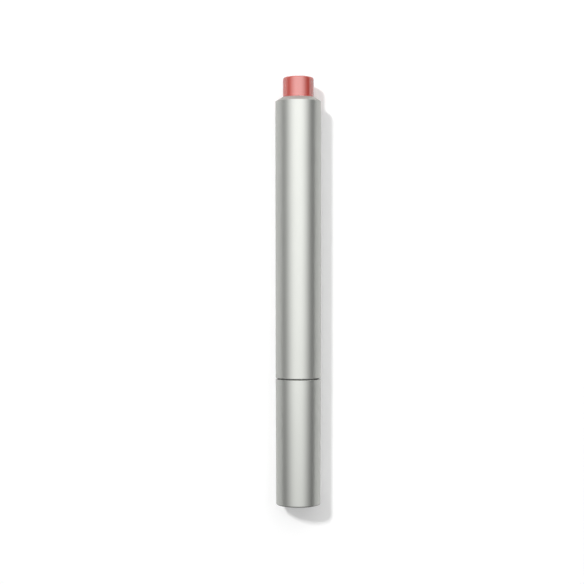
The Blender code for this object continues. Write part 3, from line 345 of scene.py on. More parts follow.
ferrule_low, ferrule_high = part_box("brush_ferrule")
ferrule_radius = ferrule_high.x
ferrule_outline = [
    (ferrule_radius, ferrule_high.z),
    *arc((ferrule_radius - FERRULE_LIP, ferrule_low.z + FERRULE_LIP), FERRULE_LIP, 0, -180),
    (ferrule_radius - FERRULE_WALL, ferrule_high.z),
]
ferrule = turned_shape(ferrule_outline)
fit_piece("ferrule_ring", ferrule, white_plastic, "barrel", "white_plastic", "brush_ferrule")

# Brush: a tuft of some hundreds of round nylon filaments, fused at the root and cut to a soft dome. It draws
# in towards the tip, and each filament bows and leans a little of its own.
FILAMENT_COUNT = 640
FILAMENT_RADIUS = 0.000042
FILAMENT_SIDES = 5
FILAMENT_TAPER = (1.0, 1.0, 0.98, 0.92, 0.80, 0.45)
TUFT_ROOT_RADIUS = 0.00158
TUFT_CORE_RADIUS = 0.00045
TUFT_DRAW_IN = 0.5
TUFT_DOME = 0.0022
TUFT_BOW = 0.00016
TUFT_LEAN = 0.00009
TUFT_UNEVEN = 0.00022
BACKING_RADIUS = 0.00165
BACKING_HEIGHT = 0.0006
TUFT_SEED = 7
GOLDEN_ANGLE = math.radians(137.50776)
NYLON_SHADES = ((0.80, 0.76, 0.66), (0.90, 0.88, 0.82))
NYLON_GLOSS = (0.28, 0.42)
NYLON_STREAKS = (9000, 9000, 300)
NYLON_SCATTER = 0.2
NYLON_SCATTER_REACH = (0.0004, 0.0004, 0.0003)


def add_shape(shape, other):
    """Add another shape to a shape. The other one is used up."""
    carrier = bpy.data.meshes.new("carrier")
    other.to_mesh(carrier)
    other.free()
    shape.from_mesh(carrier)
    bpy.data.meshes.remove(carrier)


nylon = new_finish("filament_nylon", NYLON_GLOSS[0])
scatter_below(nylon, NYLON_SCATTER, NYLON_SCATTER_REACH)
streaks = mottle(nylon, NYLON_STREAKS, GRAIN_DETAIL)
shade_between(nylon, streaks, NYLON_SHADES)
gloss_between(nylon, streaks, NYLON_GLOSS)
tuft_low, tuft_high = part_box("brush_bristles")
tuft = turned_shape(
    [
        (BACKING_RADIUS, tuft_high.z),
        (BACKING_RADIUS, tuft_high.z - BACKING_HEIGHT),
        (NOZZLE_BORE, tuft_high.z - BACKING_HEIGHT),
        (NOZZLE_BORE, tuft_high.z),
    ],
    MOULDED_STEPS // 2,
)
root_z = tuft_high.z - BACKING_HEIGHT / 2
chance = random.Random(TUFT_SEED)
for number in range(FILAMENT_COUNT):
    share = (number + 0.5) / FILAMENT_COUNT
    root_radius = math.sqrt(TUFT_CORE_RADIUS**2 + (TUFT_ROOT_RADIUS**2 - TUFT_CORE_RADIUS**2) * share)
    outward = Vector((math.cos(GOLDEN_ANGLE * number), math.sin(GOLDEN_ANGLE * number), 0))
    lean = Vector((chance.uniform(-TUFT_LEAN, TUFT_LEAN), chance.uniform(-TUFT_LEAN, TUFT_LEAN), 0))
    tip_z = tuft_low.z + TUFT_DOME * (root_radius / TUFT_ROOT_RADIUS) ** 2 + chance.uniform(0, TUFT_UNEVEN)
    filament = bmesh.new()
    bmesh.ops.create_circle(filament, cap_ends=True, segments=FILAMENT_SIDES, radius=FILAMENT_RADIUS)
    bmesh.ops.translate(filament, verts=filament.verts, vec=outward * root_radius + Vector((0, 0, root_z)))
    end_face = filament.faces[:]
    last_place = outward * root_radius
    for step, taper in enumerate(FILAMENT_TAPER[1:], start=1):
        way = step / (len(FILAMENT_TAPER) - 1)
        made = bmesh.ops.extrude_face_region(filament, geom=end_face, use_keep_orig=step == 1)["geom"]
        ring = [part for part in made if isinstance(part, bmesh.types.BMVert)]
        end_face = [part for part in made if isinstance(part, bmesh.types.BMFace)]
        width = root_radius * (1 - (1 - TUFT_DRAW_IN) * way) + TUFT_BOW * math.sin(math.pi * way) * share
        place = outward * width + lean * way**2
        middle = sum((vert.co for vert in ring), Vector()) / len(ring)
        fall = Vector((0, 0, (tip_z - root_z) / (len(FILAMENT_TAPER) - 1)))
        narrowing = taper / FILAMENT_TAPER[step - 1]
        for vert in ring:
            vert.co = middle + (vert.co - middle) * narrowing + place - last_place + fall
        last_place = place
    bmesh.ops.recalc_face_normals(filament, faces=filament.faces)
    add_shape(tuft, filament)
fit_piece("brush_tuft", tuft, nylon, "barrel", "bristle_nylon", "brush_bristles")

# Piston: moulded in natural plastic, with a blunt nose that empties the chamber and a groove for each rubber
# ring. The rod's head snaps into its rear.
PISTON_EDGE = 0.00015
PISTON_NOSE = 0.0009
PISTON_SOCKET = 0.0026
PISTON_SOCKET_Z = 0.07255
PISTON_LIP = 0.0019
PISTON_LIP_HEIGHT = 0.0007
PISTON_GROOVE_DEPTH = 0.0009

piston_low, piston_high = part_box("piston")
piston_radius = piston_high.x
piston_outline = [
    (0, PISTON_SOCKET_Z),
    (PISTON_SOCKET, PISTON_SOCKET_Z),
    (PISTON_SOCKET, piston_high.z - PISTON_LIP_HEIGHT),
    (PISTON_LIP, piston_high.z - PISTON_LIP_HEIGHT),
    (PISTON_LIP, piston_high.z - PISTON_EDGE),
    (PISTON_LIP + PISTON_EDGE, piston_high.z),
    *arc((piston_radius - PISTON_EDGE, piston_high.z - PISTON_EDGE), PISTON_EDGE, 90, 0),
]
for ring_node in ("piston_seal_rear", "piston_seal_front"):
    ring_low, ring_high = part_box(ring_node)
    piston_outline += [
        (piston_radius, ring_high.z + GROOVE_SPARE),
        (piston_radius - PISTON_GROOVE_DEPTH, ring_high.z + GROOVE_SPARE),
        (piston_radius - PISTON_GROOVE_DEPTH, ring_low.z - GROOVE_SPARE),
        (piston_radius, ring_low.z - GROOVE_SPARE),
    ]
piston_outline += [
    (piston_radius, piston_low.z + PISTON_NOSE),
    (NECK_BORE, piston_low.z + PISTON_EDGE / 2),
    (NECK_BORE - PISTON_EDGE, piston_low.z),
    (0, piston_low.z),
]
fit_piece("piston_body", turned_shape(piston_outline), natural_plastic, "piston", "natural_plastic", "piston")

# Screw rod: moulded in acetal with a two-start right-hand thread, 3 mm per turn, and two flats along it that
# the rotor drives. A neck and a round head at its front end snap into the piston and turn there.
THREAD_LEAD = 0.0030
THREAD_STARTS = 2
THREAD_STEPS = 96
THREAD_CREST = 0.0022
THREAD_ROOT = 0.00185
THREAD_MERGE = 0.000001
THREAD_OUTLINE = ((0, THREAD_ROOT), (0.00055, THREAD_ROOT), (0.00085, THREAD_CREST), (0.0012, THREAD_CREST))
ROD_HALF_FLATS = 0.00165
ROD_THREAD_Z = 0.07595
ROD_HEAD_TOP_Z = 0.07445
ROD_HEAD_RADIUS = 0.0025
ROD_NECK_RADIUS = 0.0018
ROD_EDGE = 0.0003
ACETAL_SHADES = ((0.83, 0.82, 0.78), (0.90, 0.89, 0.86))
ACETAL_GLOSS = (0.28, 0.38)
ACETAL_RELIEF = 0.0000008
ACETAL_SCATTER = 0.12
ACETAL_SCATTER_REACH = (0.0008, 0.0008, 0.0006)


def threaded_skin(outline, low, high):
    """The skin of a thread between two heights, from its outline of (height, radius) over one pitch.

    The outline is repeated along the thread and spun through one turn while it rises by one lead, so its last
    line meets its first one, shifted by a lead.
    """
    pitch = THREAD_LEAD / THREAD_STARTS
    first = math.floor(low / pitch) - THREAD_STARTS - 1
    last = math.ceil(high / pitch) + 1
    skin = bmesh.new()
    points = [
        skin.verts.new((radius, 0, number * pitch + height))
        for number in range(first, last)
        for height, radius in outline
    ]
    for start, end in zip(points, points[1:]):
        skin.edges.new((start, end))
    bmesh.ops.spin(
        skin,
        geom=[*skin.verts, *skin.edges],
        cent=(0, 0, 0),
        axis=(0, 0, 1),
        dvec=(0, 0, THREAD_LEAD / THREAD_STEPS),
        angle=2 * math.pi,
        steps=THREAD_STEPS,
    )
    bmesh.ops.remove_doubles(skin, verts=skin.verts, dist=THREAD_MERGE)
    for height, outward in ((low, -1), (high, 1)):
        bmesh.ops.bisect_plane(
            skin,
            geom=[*skin.verts, *skin.edges, *skin.faces],
            plane_co=(0, 0, height),
            plane_no=(0, 0, outward),
            clear_outer=True,
        )
    return skin


acetal = grained_finish("acetal", ACETAL_SHADES, ACETAL_GLOSS, ACETAL_RELIEF)
scatter_below(acetal, ACETAL_SCATTER, ACETAL_SCATTER_REACH)
rod_low, rod_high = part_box("screw_rod")
rod = threaded_skin(THREAD_OUTLINE, ROD_THREAD_Z, rod_high.z)
bmesh.ops.holes_fill(rod, edges=[edge for edge in rod.edges if edge.is_boundary], sides=0)
for side in (1, -1):
    bmesh.ops.bisect_plane(
        rod,
        geom=[*rod.verts, *rod.edges, *rod.faces],
        plane_co=(0, side * ROD_HALF_FLATS, 0),
        plane_no=(0, side, 0),
    )
for vert in rod.verts:
    vert.co.y = max(-ROD_HALF_FLATS, min(ROD_HALF_FLATS, vert.co.y))
    end_radius = THREAD_CREST - max(0, vert.co.z - rod_high.z + ROD_EDGE)
    reach = math.hypot(vert.co.x, vert.co.y)
    if reach > end_radius:
        vert.co.x *= end_radius / reach
        vert.co.y *= end_radius / reach
bmesh.ops.recalc_face_normals(rod, faces=rod.faces)
head = turned_shape(
    [
        (0, ROD_THREAD_Z + ROD_EDGE),
        (ROD_HALF_FLATS - ROD_EDGE, ROD_THREAD_Z + ROD_EDGE),
        (ROD_HALF_FLATS - ROD_EDGE, ROD_THREAD_Z - ROD_EDGE / 2),
        (ROD_NECK_RADIUS, ROD_THREAD_Z - ROD_EDGE),
        (ROD_NECK_RADIUS, ROD_HEAD_TOP_Z),
        (ROD_HEAD_RADIUS, ROD_HEAD_TOP_Z),
        *arc((ROD_HEAD_RADIUS - 2 * ROD_EDGE, rod_low.z + 2 * ROD_EDGE), 2 * ROD_EDGE, 0, -90),
        (0, rod_low.z),
    ]
)
add_shape(rod, head)
fit_piece("threaded_rod", rod, acetal, "rod", "acetal", "screw_rod")

# Thread collar: a moulded plug that closes the chamber and is keyed to the mechanism's housing. Its bore has
# the thread in which the rod turns, and ribs tie its hub to its skirt.
COLLAR_RADIUS = 0.0050
COLLAR_FLANGE_Z = 0.08025
COLLAR_CORE_Z = 0.07935
COLLAR_SKIRT = 0.0043
COLLAR_HUB = 0.0033
COLLAR_BORE = 0.0025
COLLAR_EDGE = 0.00015
COLLAR_NOTCHES = 4
COLLAR_NOTCH_WIDTH = 0.0016
COLLAR_NOTCH_DEPTH = 0.0007
COLLAR_RIBS = 6
COLLAR_RIB_WIDTH = 0.0006
COLLAR_RIB_RECESS = 0.0004
NUT_RADIUS = 0.00252
NUT_OUTLINE = ((0.00011, 0.00195), (0.00044, 0.00195), (0.00074, 0.0023), (0.00131, 0.0023))
LEVEL_SLACK = 0.00001
WINDOW_REACH = 0.99
WINDOW_DRAFT = 0.005
WINDOW_MERGE = 0.000001


def window_points(shape, count, width, radius):
    """The points within a number of windows round the axis, whose width is measured at a radius.

    The columns of points beside each window are drawn to its edges first, so that what is pressed in there
    gets steep sides.
    """
    column = 2 * math.pi / MOULDED_STEPS
    half = width / 2 / radius
    inside = []
    for vert in shape.verts:
        reach = math.hypot(vert.co.x, vert.co.y)
        angle = math.atan2(vert.co.y, vert.co.x)
        middle = round(angle * count / (2 * math.pi)) * 2 * math.pi / count
        past = abs(angle - middle) - half
        if abs(past) < column * WINDOW_REACH:
            past = math.copysign(WINDOW_DRAFT, past)
            angle = middle + math.copysign(half + past, angle - middle)
            vert.co.x = reach * math.cos(angle)
            vert.co.y = reach * math.sin(angle)
        if past < 0:
            inside.append(vert)
    return inside


def press_windows(shape, count, width, start, floor, low, high):
    """Press the skin at a start radius in or out to a floor radius, in windows between two heights."""
    for vert in window_points(shape, count, width, start):
        reach = math.hypot(vert.co.x, vert.co.y)
        level = low - LEVEL_SLACK <= vert.co.z <= high + LEVEL_SLACK
        if level and min(start, floor) - LEVEL_SLACK <= reach <= max(start, floor) + LEVEL_SLACK:
            vert.co.x *= floor / reach
            vert.co.y *= floor / reach
    bmesh.ops.dissolve_degenerate(shape, edges=shape.edges, dist=WINDOW_MERGE)


def add_bars(shape, low, high, count):
    """Add a straight bar between two corners, and its copies round the axis."""
    size = Vector(high) - Vector(low)
    bar = Matrix.Translation((Vector(low) + Vector(high)) / 2) @ Matrix.Diagonal((*size, 1))
    for number in range(count):
        turn = Matrix.Rotation(2 * math.pi * number / count, 4, "Z")
        bmesh.ops.create_cube(shape, size=1.0, matrix=turn @ bar)


collar_low, collar_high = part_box("thread_collar")
collar = turned_shape(
    [
        (COLLAR_BORE, collar_high.z),
        (lining - COLLAR_EDGE, collar_high.z),
        (lining, collar_high.z - COLLAR_EDGE),
        (lining, COLLAR_FLANGE_Z),
        (COLLAR_RADIUS, COLLAR_FLANGE_Z),
        (COLLAR_RADIUS, collar_low.z + COLLAR_EDGE),
        (COLLAR_RADIUS - COLLAR_EDGE, collar_low.z),
        (COLLAR_SKIRT, collar_low.z),
        (COLLAR_SKIRT, COLLAR_CORE_Z),
        (COLLAR_HUB, COLLAR_CORE_Z),
        (COLLAR_HUB, collar_low.z),
        (COLLAR_BORE, collar_low.z),
    ]
)
notch_floor = lining - COLLAR_NOTCH_DEPTH
press_windows(collar, COLLAR_NOTCHES, COLLAR_NOTCH_WIDTH, lining, notch_floor, COLLAR_FLANGE_Z, collar_high.z)
rib_low = (COLLAR_HUB - COLLAR_EDGE, -COLLAR_RIB_WIDTH / 2, collar_low.z + COLLAR_RIB_RECESS)
rib_high = (COLLAR_SKIRT + COLLAR_EDGE, COLLAR_RIB_WIDTH / 2, COLLAR_CORE_Z + COLLAR_EDGE)
add_bars(collar, rib_low, rib_high, COLLAR_RIBS)
nut = threaded_skin(NUT_OUTLINE, collar_low.z, collar_high.z)
nut_rims = []
for height in (collar_low.z, collar_high.z):
    mouth = [
        edge
        for edge in nut.edges
        if edge.is_boundary and all(abs(vert.co.z - height) < LEVEL_SLACK for vert in edge.verts)
    ]
    made = bmesh.ops.create_circle(
        nut, segments=THREAD_STEPS, radius=NUT_RADIUS, matrix=Matrix.Translation((0, 0, height))
    )["verts"]
    outer = list({edge for vert in made for edge in vert.link_edges})
    bmesh.ops.bridge_loops(nut, edges=mouth + outer)
    nut_rims += outer
bmesh.ops.bridge_loops(nut, edges=nut_rims)
bmesh.ops.recalc_face_normals(nut, faces=nut.faces)
add_shape(collar, nut)
fit_piece("collar_plug", collar, acetal, "barrel", "acetal", "thread_collar")

# Mechanism housing: a white moulded tube round the ratchet. Pockets keep its thick front end even, tabs key
# it into the thread collar, and two notches in its ledge hold the fixed ring's lugs.
MOULDED_EDGE = 0.00006
MOULDED_EDGE_STEPS = 3
POCKETS = 6
POCKET_WIDTH = 0.0034
POCKET_DEPTH = 0.0009
POCKET_LOW_Z = 0.08295
POCKET_HIGH_Z = 0.09025
HOUSING_BASE_Z = 0.08175
HOUSING_LEDGE_Z = 0.09145
HOUSING_BORE = 0.0051
RING_BORE = 0.00415
LUG_NOTCHES = 2
LUG_NOTCH_WIDTH = 0.0014
LUG_NOTCH_REACH = 0.0049
LUG_NOTCH_DEPTH = 0.0008
TABS = 4
TAB_LOW = (0.0051, -0.0007, 0.08025)
TAB_HIGH = (0.0056, 0.0007, 0.08235)


def rim(radius, height, start, end):
    """Points of a small round edge of a turned outline, from its corner and the directions that it turns."""
    middle = math.radians((start + end) / 2)
    centre = (
        radius - math.copysign(MOULDED_EDGE, math.cos(middle)),
        height - math.copysign(MOULDED_EDGE, math.sin(middle)),
    )
    return arc(centre, MOULDED_EDGE, start, end, MOULDED_EDGE_STEPS)


housing_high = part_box("mechanism_housing")[1]
housing = turned_shape(
    [
        *rim(lining, housing_high.z, 90, 0),
        (lining, POCKET_HIGH_Z + MOULDED_EDGE),
        (lining, POCKET_HIGH_Z),
        (lining, POCKET_LOW_Z),
        (lining, POCKET_LOW_Z - MOULDED_EDGE),
        *rim(lining, HOUSING_BASE_Z, 0, -90),
        *rim(RING_BORE, HOUSING_BASE_Z, -90, -180),
        (RING_BORE, HOUSING_LEDGE_Z),
        (LUG_NOTCH_REACH, HOUSING_LEDGE_Z),
        (LUG_NOTCH_REACH + MOULDED_EDGE, HOUSING_LEDGE_Z),
        (HOUSING_BORE, HOUSING_LEDGE_Z),
        *rim(HOUSING_BORE, housing_high.z, 180, 90),
    ]
)
press_windows(housing, POCKETS, POCKET_WIDTH, lining, lining - POCKET_DEPTH, POCKET_LOW_Z, POCKET_HIGH_Z)
for vert in window_points(housing, LUG_NOTCHES, LUG_NOTCH_WIDTH, LUG_NOTCH_REACH):
    on_ledge = abs(vert.co.z - HOUSING_LEDGE_Z) < LEVEL_SLACK
    if on_ledge and math.hypot(vert.co.x, vert.co.y) < LUG_NOTCH_REACH + LEVEL_SLACK:
        vert.co.z -= LUG_NOTCH_DEPTH
add_bars(housing, TAB_LOW, TAB_HIGH, TABS)
fit_piece("ratchet_housing", housing, white_plastic, "barrel", "white_plastic", "mechanism_housing")

# Tail guide: an acetal bush that closes the mechanism. Two keyways run right through it for the keys of the
# button's stem, and its mouth is widened so that the stem finds its way in.
GUIDE_BORE = 0.00455
GUIDE_LEAD_IN = 0.0003
KEYWAYS = 2
KEYWAY_WIDTH = 0.0016
KEYWAY_FLOOR = 0.00505

guide_low, guide_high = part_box("tail_guide")
guide = turned_shape(
    [
        *rim(lining, guide_high.z, 90, 0),
        *rim(lining, guide_low.z, 0, -90),
        (GUIDE_BORE, guide_low.z),
        (GUIDE_BORE, guide_high.z - GUIDE_LEAD_IN),
        (GUIDE_BORE + GUIDE_LEAD_IN, guide_high.z),
    ]
)
press_windows(guide, KEYWAYS, KEYWAY_WIDTH, GUIDE_BORE, KEYWAY_FLOOR, guide_low.z, guide_high.z)
fit_piece("guide_bush", guide, acetal, "barrel", "acetal", "tail_guide")

# Ratchet: eight saw teeth on the button's stem meet eight on the rotor, and the rotor's other side has teeth
# for the fixed ring. All are moulded in acetal. Two keys guide the stem, and two lugs hold the ring.
TOOTH_COUNT = 8
TOOTH_HEIGHT = 0.0011
TOOTH_LAND = 0.07
TOOTH_DRAFT = 0.00005
TOOTH_LEAN = 5
TOOTH_RAMP_TURN = 20
TOOTH_RAMP_STEPS = 12
CAM_RING = 0.00445
CAM_RING_BORE = 0.00315
CAM_STEM_BORE = 0.00265
CAM_STEM_RADIUS = 0.00335
CAM_SHELF_Z = 0.11345
CAM_WEB = 0.0012
CAM_KEY_LOW = (0.0038, -0.0007, 0.10575)
CAM_KEY_HIGH = (0.00495, 0.0007, 0.11145)
ROTOR_FLANGE_TOP_Z = 0.09945
ROTOR_FLANGE_LOW_Z = 0.09795
ROTOR_LOW_TIP_Z = 0.09665
ROTOR_SLEEVE = 0.00305
ROTOR_BORE = 0.0025
ROTOR_DRIVE_Z = 0.08875
ROTOR_DRIVE_RADIUS = 0.0023
ROTOR_HALF_FLATS = 0.00175
RING_BASE_Z = 0.09175
RING_LUG_LOW = (0.00425, -0.0006, 0.09095)
RING_LUG_HIGH = (0.0048, 0.0006, 0.0925)


def toothed_shape(outline, way, tips):
    """Turn an outline and press saw teeth into its tips, given as (height, side on which the teeth point).

    Each tooth is a land, a steep side with small round edges and a long ramp, laid out as columns of the
    turned shape. With way 1 the steep side follows the land as the angle grows, and with way -1 it comes
    before it.
    """
    middle = (CAM_RING + CAM_RING_BORE) / 2
    pitch = 2 * math.pi * middle / TOOTH_COUNT
    land = pitch * TOOTH_LAND / 2
    crest = (land - MOULDED_EDGE, -MOULDED_EDGE)
    foot = (land + TOOTH_DRAFT + MOULDED_EDGE, MOULDED_EDGE - TOOTH_HEIGHT)
    profile = [
        (-land, 0),
        *arc(crest, MOULDED_EDGE, 90, TOOTH_LEAN, MOULDED_EDGE_STEPS),
        *arc(foot, MOULDED_EDGE, 180 + TOOTH_LEAN, 270 + TOOTH_RAMP_TURN, MOULDED_EDGE_STEPS),
    ]
    start, low = profile[-1]
    for step in range(1, TOOTH_RAMP_STEPS):
        rise = step / TOOTH_RAMP_STEPS
        profile.append((start + (pitch - land - start) * rise, low * (1 - rise)))
    shape = turned_shape(outline, TOOTH_COUNT * len(profile))
    for vert in shape.verts:
        turn = math.atan2(vert.co.y, vert.co.x) / (2 * math.pi)
        tooth, column = divmod(round(turn * TOOTH_COUNT * len(profile)), len(profile))
        along, drop = profile[column]
        reach = math.hypot(vert.co.x, vert.co.y)
        angle = way * (tooth * pitch + along) / middle
        vert.co.x = reach * math.cos(angle)
        vert.co.y = reach * math.sin(angle)
        for tip, side in tips:
            if abs(vert.co.z - tip) < MOULDED_EDGE + LEVEL_SLACK:
                vert.co.z += side * drop
                break
    bmesh.ops.recalc_face_normals(shape, faces=shape.faces)
    return shape


cam_low, cam_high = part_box("button_cam")
cam = toothed_shape(
    [
        *rim(CAM_STEM_RADIUS, cam_high.z, 90, 0),
        (CAM_STEM_RADIUS, CAM_SHELF_Z),
        *rim(CAM_RING, CAM_SHELF_Z, 90, 0),
        *rim(CAM_RING, cam_low.z, 0, -90),
        *rim(CAM_RING_BORE, cam_low.z, -90, -180),
        (CAM_RING_BORE, CAM_SHELF_Z - CAM_WEB),
        (CAM_STEM_BORE, CAM_SHELF_Z - CAM_WEB),
        *rim(CAM_STEM_BORE, cam_high.z, 180, 90),
    ],
    1,
    [(cam_low.z, -1)],
)
add_bars(cam, CAM_KEY_LOW, CAM_KEY_HIGH, KEYWAYS)
fit_piece("cam_stem", cam, acetal, "button", "acetal", "button_cam")

rotor_low, rotor_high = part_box("ratchet_rotor")
rotor = toothed_shape(
    [
        *rim(CAM_RING, rotor_high.z, 90, 0),
        (CAM_RING, ROTOR_FLANGE_TOP_Z),
        *rim(rotor_high.x, ROTOR_FLANGE_TOP_Z, 90, 0),
        *rim(rotor_high.x, ROTOR_LOW_TIP_Z, 0, -90),
        *rim(RING_BORE, ROTOR_LOW_TIP_Z, -90, -180),
        (RING_BORE, ROTOR_FLANGE_LOW_Z),
        (ROTOR_SLEEVE, ROTOR_FLANGE_LOW_Z),
        *rim(ROTOR_SLEEVE, rotor_low.z, 0, -90),
        (ROTOR_DRIVE_RADIUS, rotor_low.z),
        (ROTOR_DRIVE_RADIUS, ROTOR_DRIVE_Z),
        (ROTOR_BORE, ROTOR_DRIVE_Z),
        (ROTOR_BORE, ROTOR_FLANGE_TOP_Z),
        (CAM_RING_BORE, ROTOR_FLANGE_TOP_Z),
        *rim(CAM_RING_BORE, rotor_high.z, 180, 90),
    ],
    -1,
    [(rotor_high.z, 1), (ROTOR_LOW_TIP_Z, -1)],
)
for vert in rotor.verts:
    if math.hypot(vert.co.x, vert.co.y) < ROTOR_DRIVE_RADIUS + LEVEL_SLACK:
        vert.co.y = max(-ROTOR_HALF_FLATS, min(ROTOR_HALF_FLATS, vert.co.y))
fit_piece("rotor_moulding", rotor, acetal, "rotor", "acetal", "ratchet_rotor")

ring_low, ring_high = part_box("fixed_cam")
ring = toothed_shape(
    [
        *rim(ring_high.x, ring_high.z, 90, 0),
        *rim(ring_high.x, RING_BASE_Z, 0, -90),
        *rim(RING_BORE, RING_BASE_Z, -90, -180),
        *rim(RING_BORE, ring_high.z, 180, 90),
    ],
    1,
    [(ring_high.z, 1)],
)
add_bars(ring, RING_LUG_LOW, RING_LUG_HIGH, LUG_NOTCHES)
fit_piece("ratchet_ring", ring, acetal, "barrel", "acetal", "fixed_cam")

# Return spring and thrust washer: hard-drawn steel wire wound round the rotor's sleeve with its end turns
# closed, and a stamped steel washer that lets the rotor turn on the spring. The spring shortens as the button
# goes in.
WIRE_RADIUS = 0.0003
WIRE_SIDES = 14
SPRING_TURNS = 8
SPRING_TURN_STEPS = 48
SPRING_CLOSED_PITCH = 0.00105
WASHER_EDGE = 0.00006
WASHER_BORE = 0.00315

spring_low, spring_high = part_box("return_spring")
coil_radius = spring_high.x - WIRE_RADIUS
open_pitch = (spring_high.z - spring_low.z - 2 * WIRE_RADIUS - 2 * SPRING_CLOSED_PITCH) / (SPRING_TURNS - 2)
wire_start = Matrix.Translation((coil_radius, 0, spring_low.z + WIRE_RADIUS))
wire_start @= Matrix.Rotation(math.pi / 2, 4, "X")
spring = bmesh.new()
front = bmesh.ops.create_circle(spring, segments=WIRE_SIDES, radius=WIRE_RADIUS, matrix=wire_start)["verts"]
front = [*front, *{edge for vert in front for edge in vert.link_edges}]
for turns, pitch in ((1, SPRING_CLOSED_PITCH), (SPRING_TURNS - 2, open_pitch), (1, SPRING_CLOSED_PITCH)):
    front = bmesh.ops.spin(
        spring,
        geom=front,
        cent=(0, 0, 0),
        axis=(0, 0, 1),
        dvec=(0, 0, pitch / SPRING_TURN_STEPS),
        angle=2 * math.pi * turns,
        steps=SPRING_TURN_STEPS * turns,
    )["geom_last"]
    front = [part for part in front if not isinstance(part, bmesh.types.BMFace)]
bmesh.ops.holes_fill(spring, edges=[edge for edge in spring.edges if edge.is_boundary], sides=0)
bmesh.ops.recalc_face_normals(spring, faces=spring.faces)
spring_wire = fit_piece("spring_wire", spring, steel, "barrel", "steel", "return_spring")
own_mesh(spring_wire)
washer = turned_shape(deburred_outline(*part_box("thrust_washer"), WASHER_BORE, WASHER_EDGE))
fit_piece("washer_stamped", washer, steel, "button", "steel", "thrust_washer")

# Barrel shell: a drawn aluminium tube, brushed very finely along its length and anodised satin silver. Its
# rear end is rolled in to a shallow cone round the button's hole, and the insides are a press fit in it.
SHELL_WALL = 0.0005
SHELL_CHAMFER = 0.00012
SHELL_STEPS = 192
BARREL_DRAFT = 0.000075
SHOULDER_HEIGHT = 0.0012
SHOULDER_BEND = 0.00006
SHOULDER_MATT = 0.30
SHOULDER_EDGE_WALL = 0.00015
BUTTON_HOLE = 0.0046
SILVER_SHADES = ((0.415, 0.423, 0.402), (0.445, 0.453, 0.432))
SILVER_EDGE = (1.0, 1.0, 0.99)
SILVER_GLOSS = (0.34, 0.42)
SILVER_RELIEF = 0.0000012
SILVER_CLOUDS = (180, 180, 60)
SILVER_GRAIN = (9000, 9000, 350)


def feed(tree, value, socket):
    """Give a socket its value, which is an output or a number."""
    if isinstance(value, bpy.types.NodeSocket):
        tree.links.new(value, socket)
    else:
        socket.default_value = value


def worked(tree, operation, *values):
    """What an operation makes of values, each an output or a number."""
    maths = tree.nodes.new("ShaderNodeMath")
    maths.operation = operation
    for value, socket in zip(values, maths.inputs):
        feed(tree, value, socket)
    return maths.outputs[0]


def height_on_piece(tree):
    """The height of each point of the piece that has the material."""
    place = tree.nodes.new("ShaderNodeSeparateXYZ")
    tree.links.new(tree.nodes.new("ShaderNodeTexCoord").outputs["Object"], place.inputs[0])
    return place.outputs["Z"]


def matt_above(finish, height, added):
    """Add to the roughness of all that lies above a height."""
    tree = finish.node_tree
    roughness = shader_of(finish).inputs["Roughness"]
    above = worked(tree, "GREATER_THAN", height_on_piece(tree), height)
    matt = worked(tree, "MULTIPLY_ADD", above, added, roughness.links[0].from_socket)
    tree.links.new(matt, roughness)


def satin_silver(name):
    """Anodised aluminium: a fine grain along the tube, and slow changes of shade and gloss."""
    finish = grained_finish(
        name, SILVER_SHADES, SILVER_GLOSS, SILVER_RELIEF, SILVER_CLOUDS, SILVER_GRAIN, metallic=1.0
    )
    shader_of(finish).inputs["Specular Tint"].default_value = (*SILVER_EDGE, 1)
    return finish


barrel_silver = satin_silver("barrel_silver")
barrel_low, barrel_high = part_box("barrel_sleeve")
barrel_rear_radius = barrel_high.x
barrel_front_radius = barrel_rear_radius - BARREL_DRAFT
barrel_bore = barrel_front_radius - SHELL_WALL
shoulder_z = barrel_high.z - SHOULDER_HEIGHT
matt_above(barrel_silver, shoulder_z + SHOULDER_BEND, SHOULDER_MATT)
slope = math.degrees(math.atan2(SHOULDER_HEIGHT, barrel_rear_radius - BUTTON_HOLE))
barrel_outline = [
    (BUTTON_HOLE, barrel_high.z - SHELL_CHAMFER),
    *arc((BUTTON_HOLE + SHELL_CHAMFER, barrel_high.z - SHELL_CHAMFER), SHELL_CHAMFER, 180, 90 - slope),
    *arc((barrel_rear_radius - SHOULDER_BEND, shoulder_z), SHOULDER_BEND, 90 - slope, 0),
    (barrel_front_radius, barrel_low.z + SHELL_CHAMFER),
    (barrel_front_radius - SHELL_CHAMFER, barrel_low.z),
    (barrel_bore + SHELL_CHAMFER, barrel_low.z),
    (barrel_bore, barrel_low.z + SHELL_CHAMFER),
    (barrel_bore, shoulder_z - SHOULDER_EDGE_WALL),
    (BUTTON_HOLE, shoulder_z - SHOULDER_EDGE_WALL),
]
barrel_shell = turned_shape(barrel_outline, SHELL_STEPS)
fit_piece("barrel_shell", barrel_shell, barrel_silver, "barrel", "sleeve_metal", "barrel_sleeve")

# Push button: a hollow moulding in glossy coral plastic, with a slightly crowned end and a rounded rim. Its
# flange stops it under the barrel's shoulder.
BUTTON_RADIUS = 0.00445
BUTTON_WALL = 0.0010
BUTTON_RIM = 0.0007
BUTTON_CROWN = 0.032
BUTTON_FLANGE = 0.0013
CORAL_SHADES = ((0.45, 0.030, 0.013), (0.51, 0.037, 0.016))
CORAL_GLOSS = (0.10, 0.15)
CORAL_RELIEF = 0.0000008
CORAL_IOR = 2.2

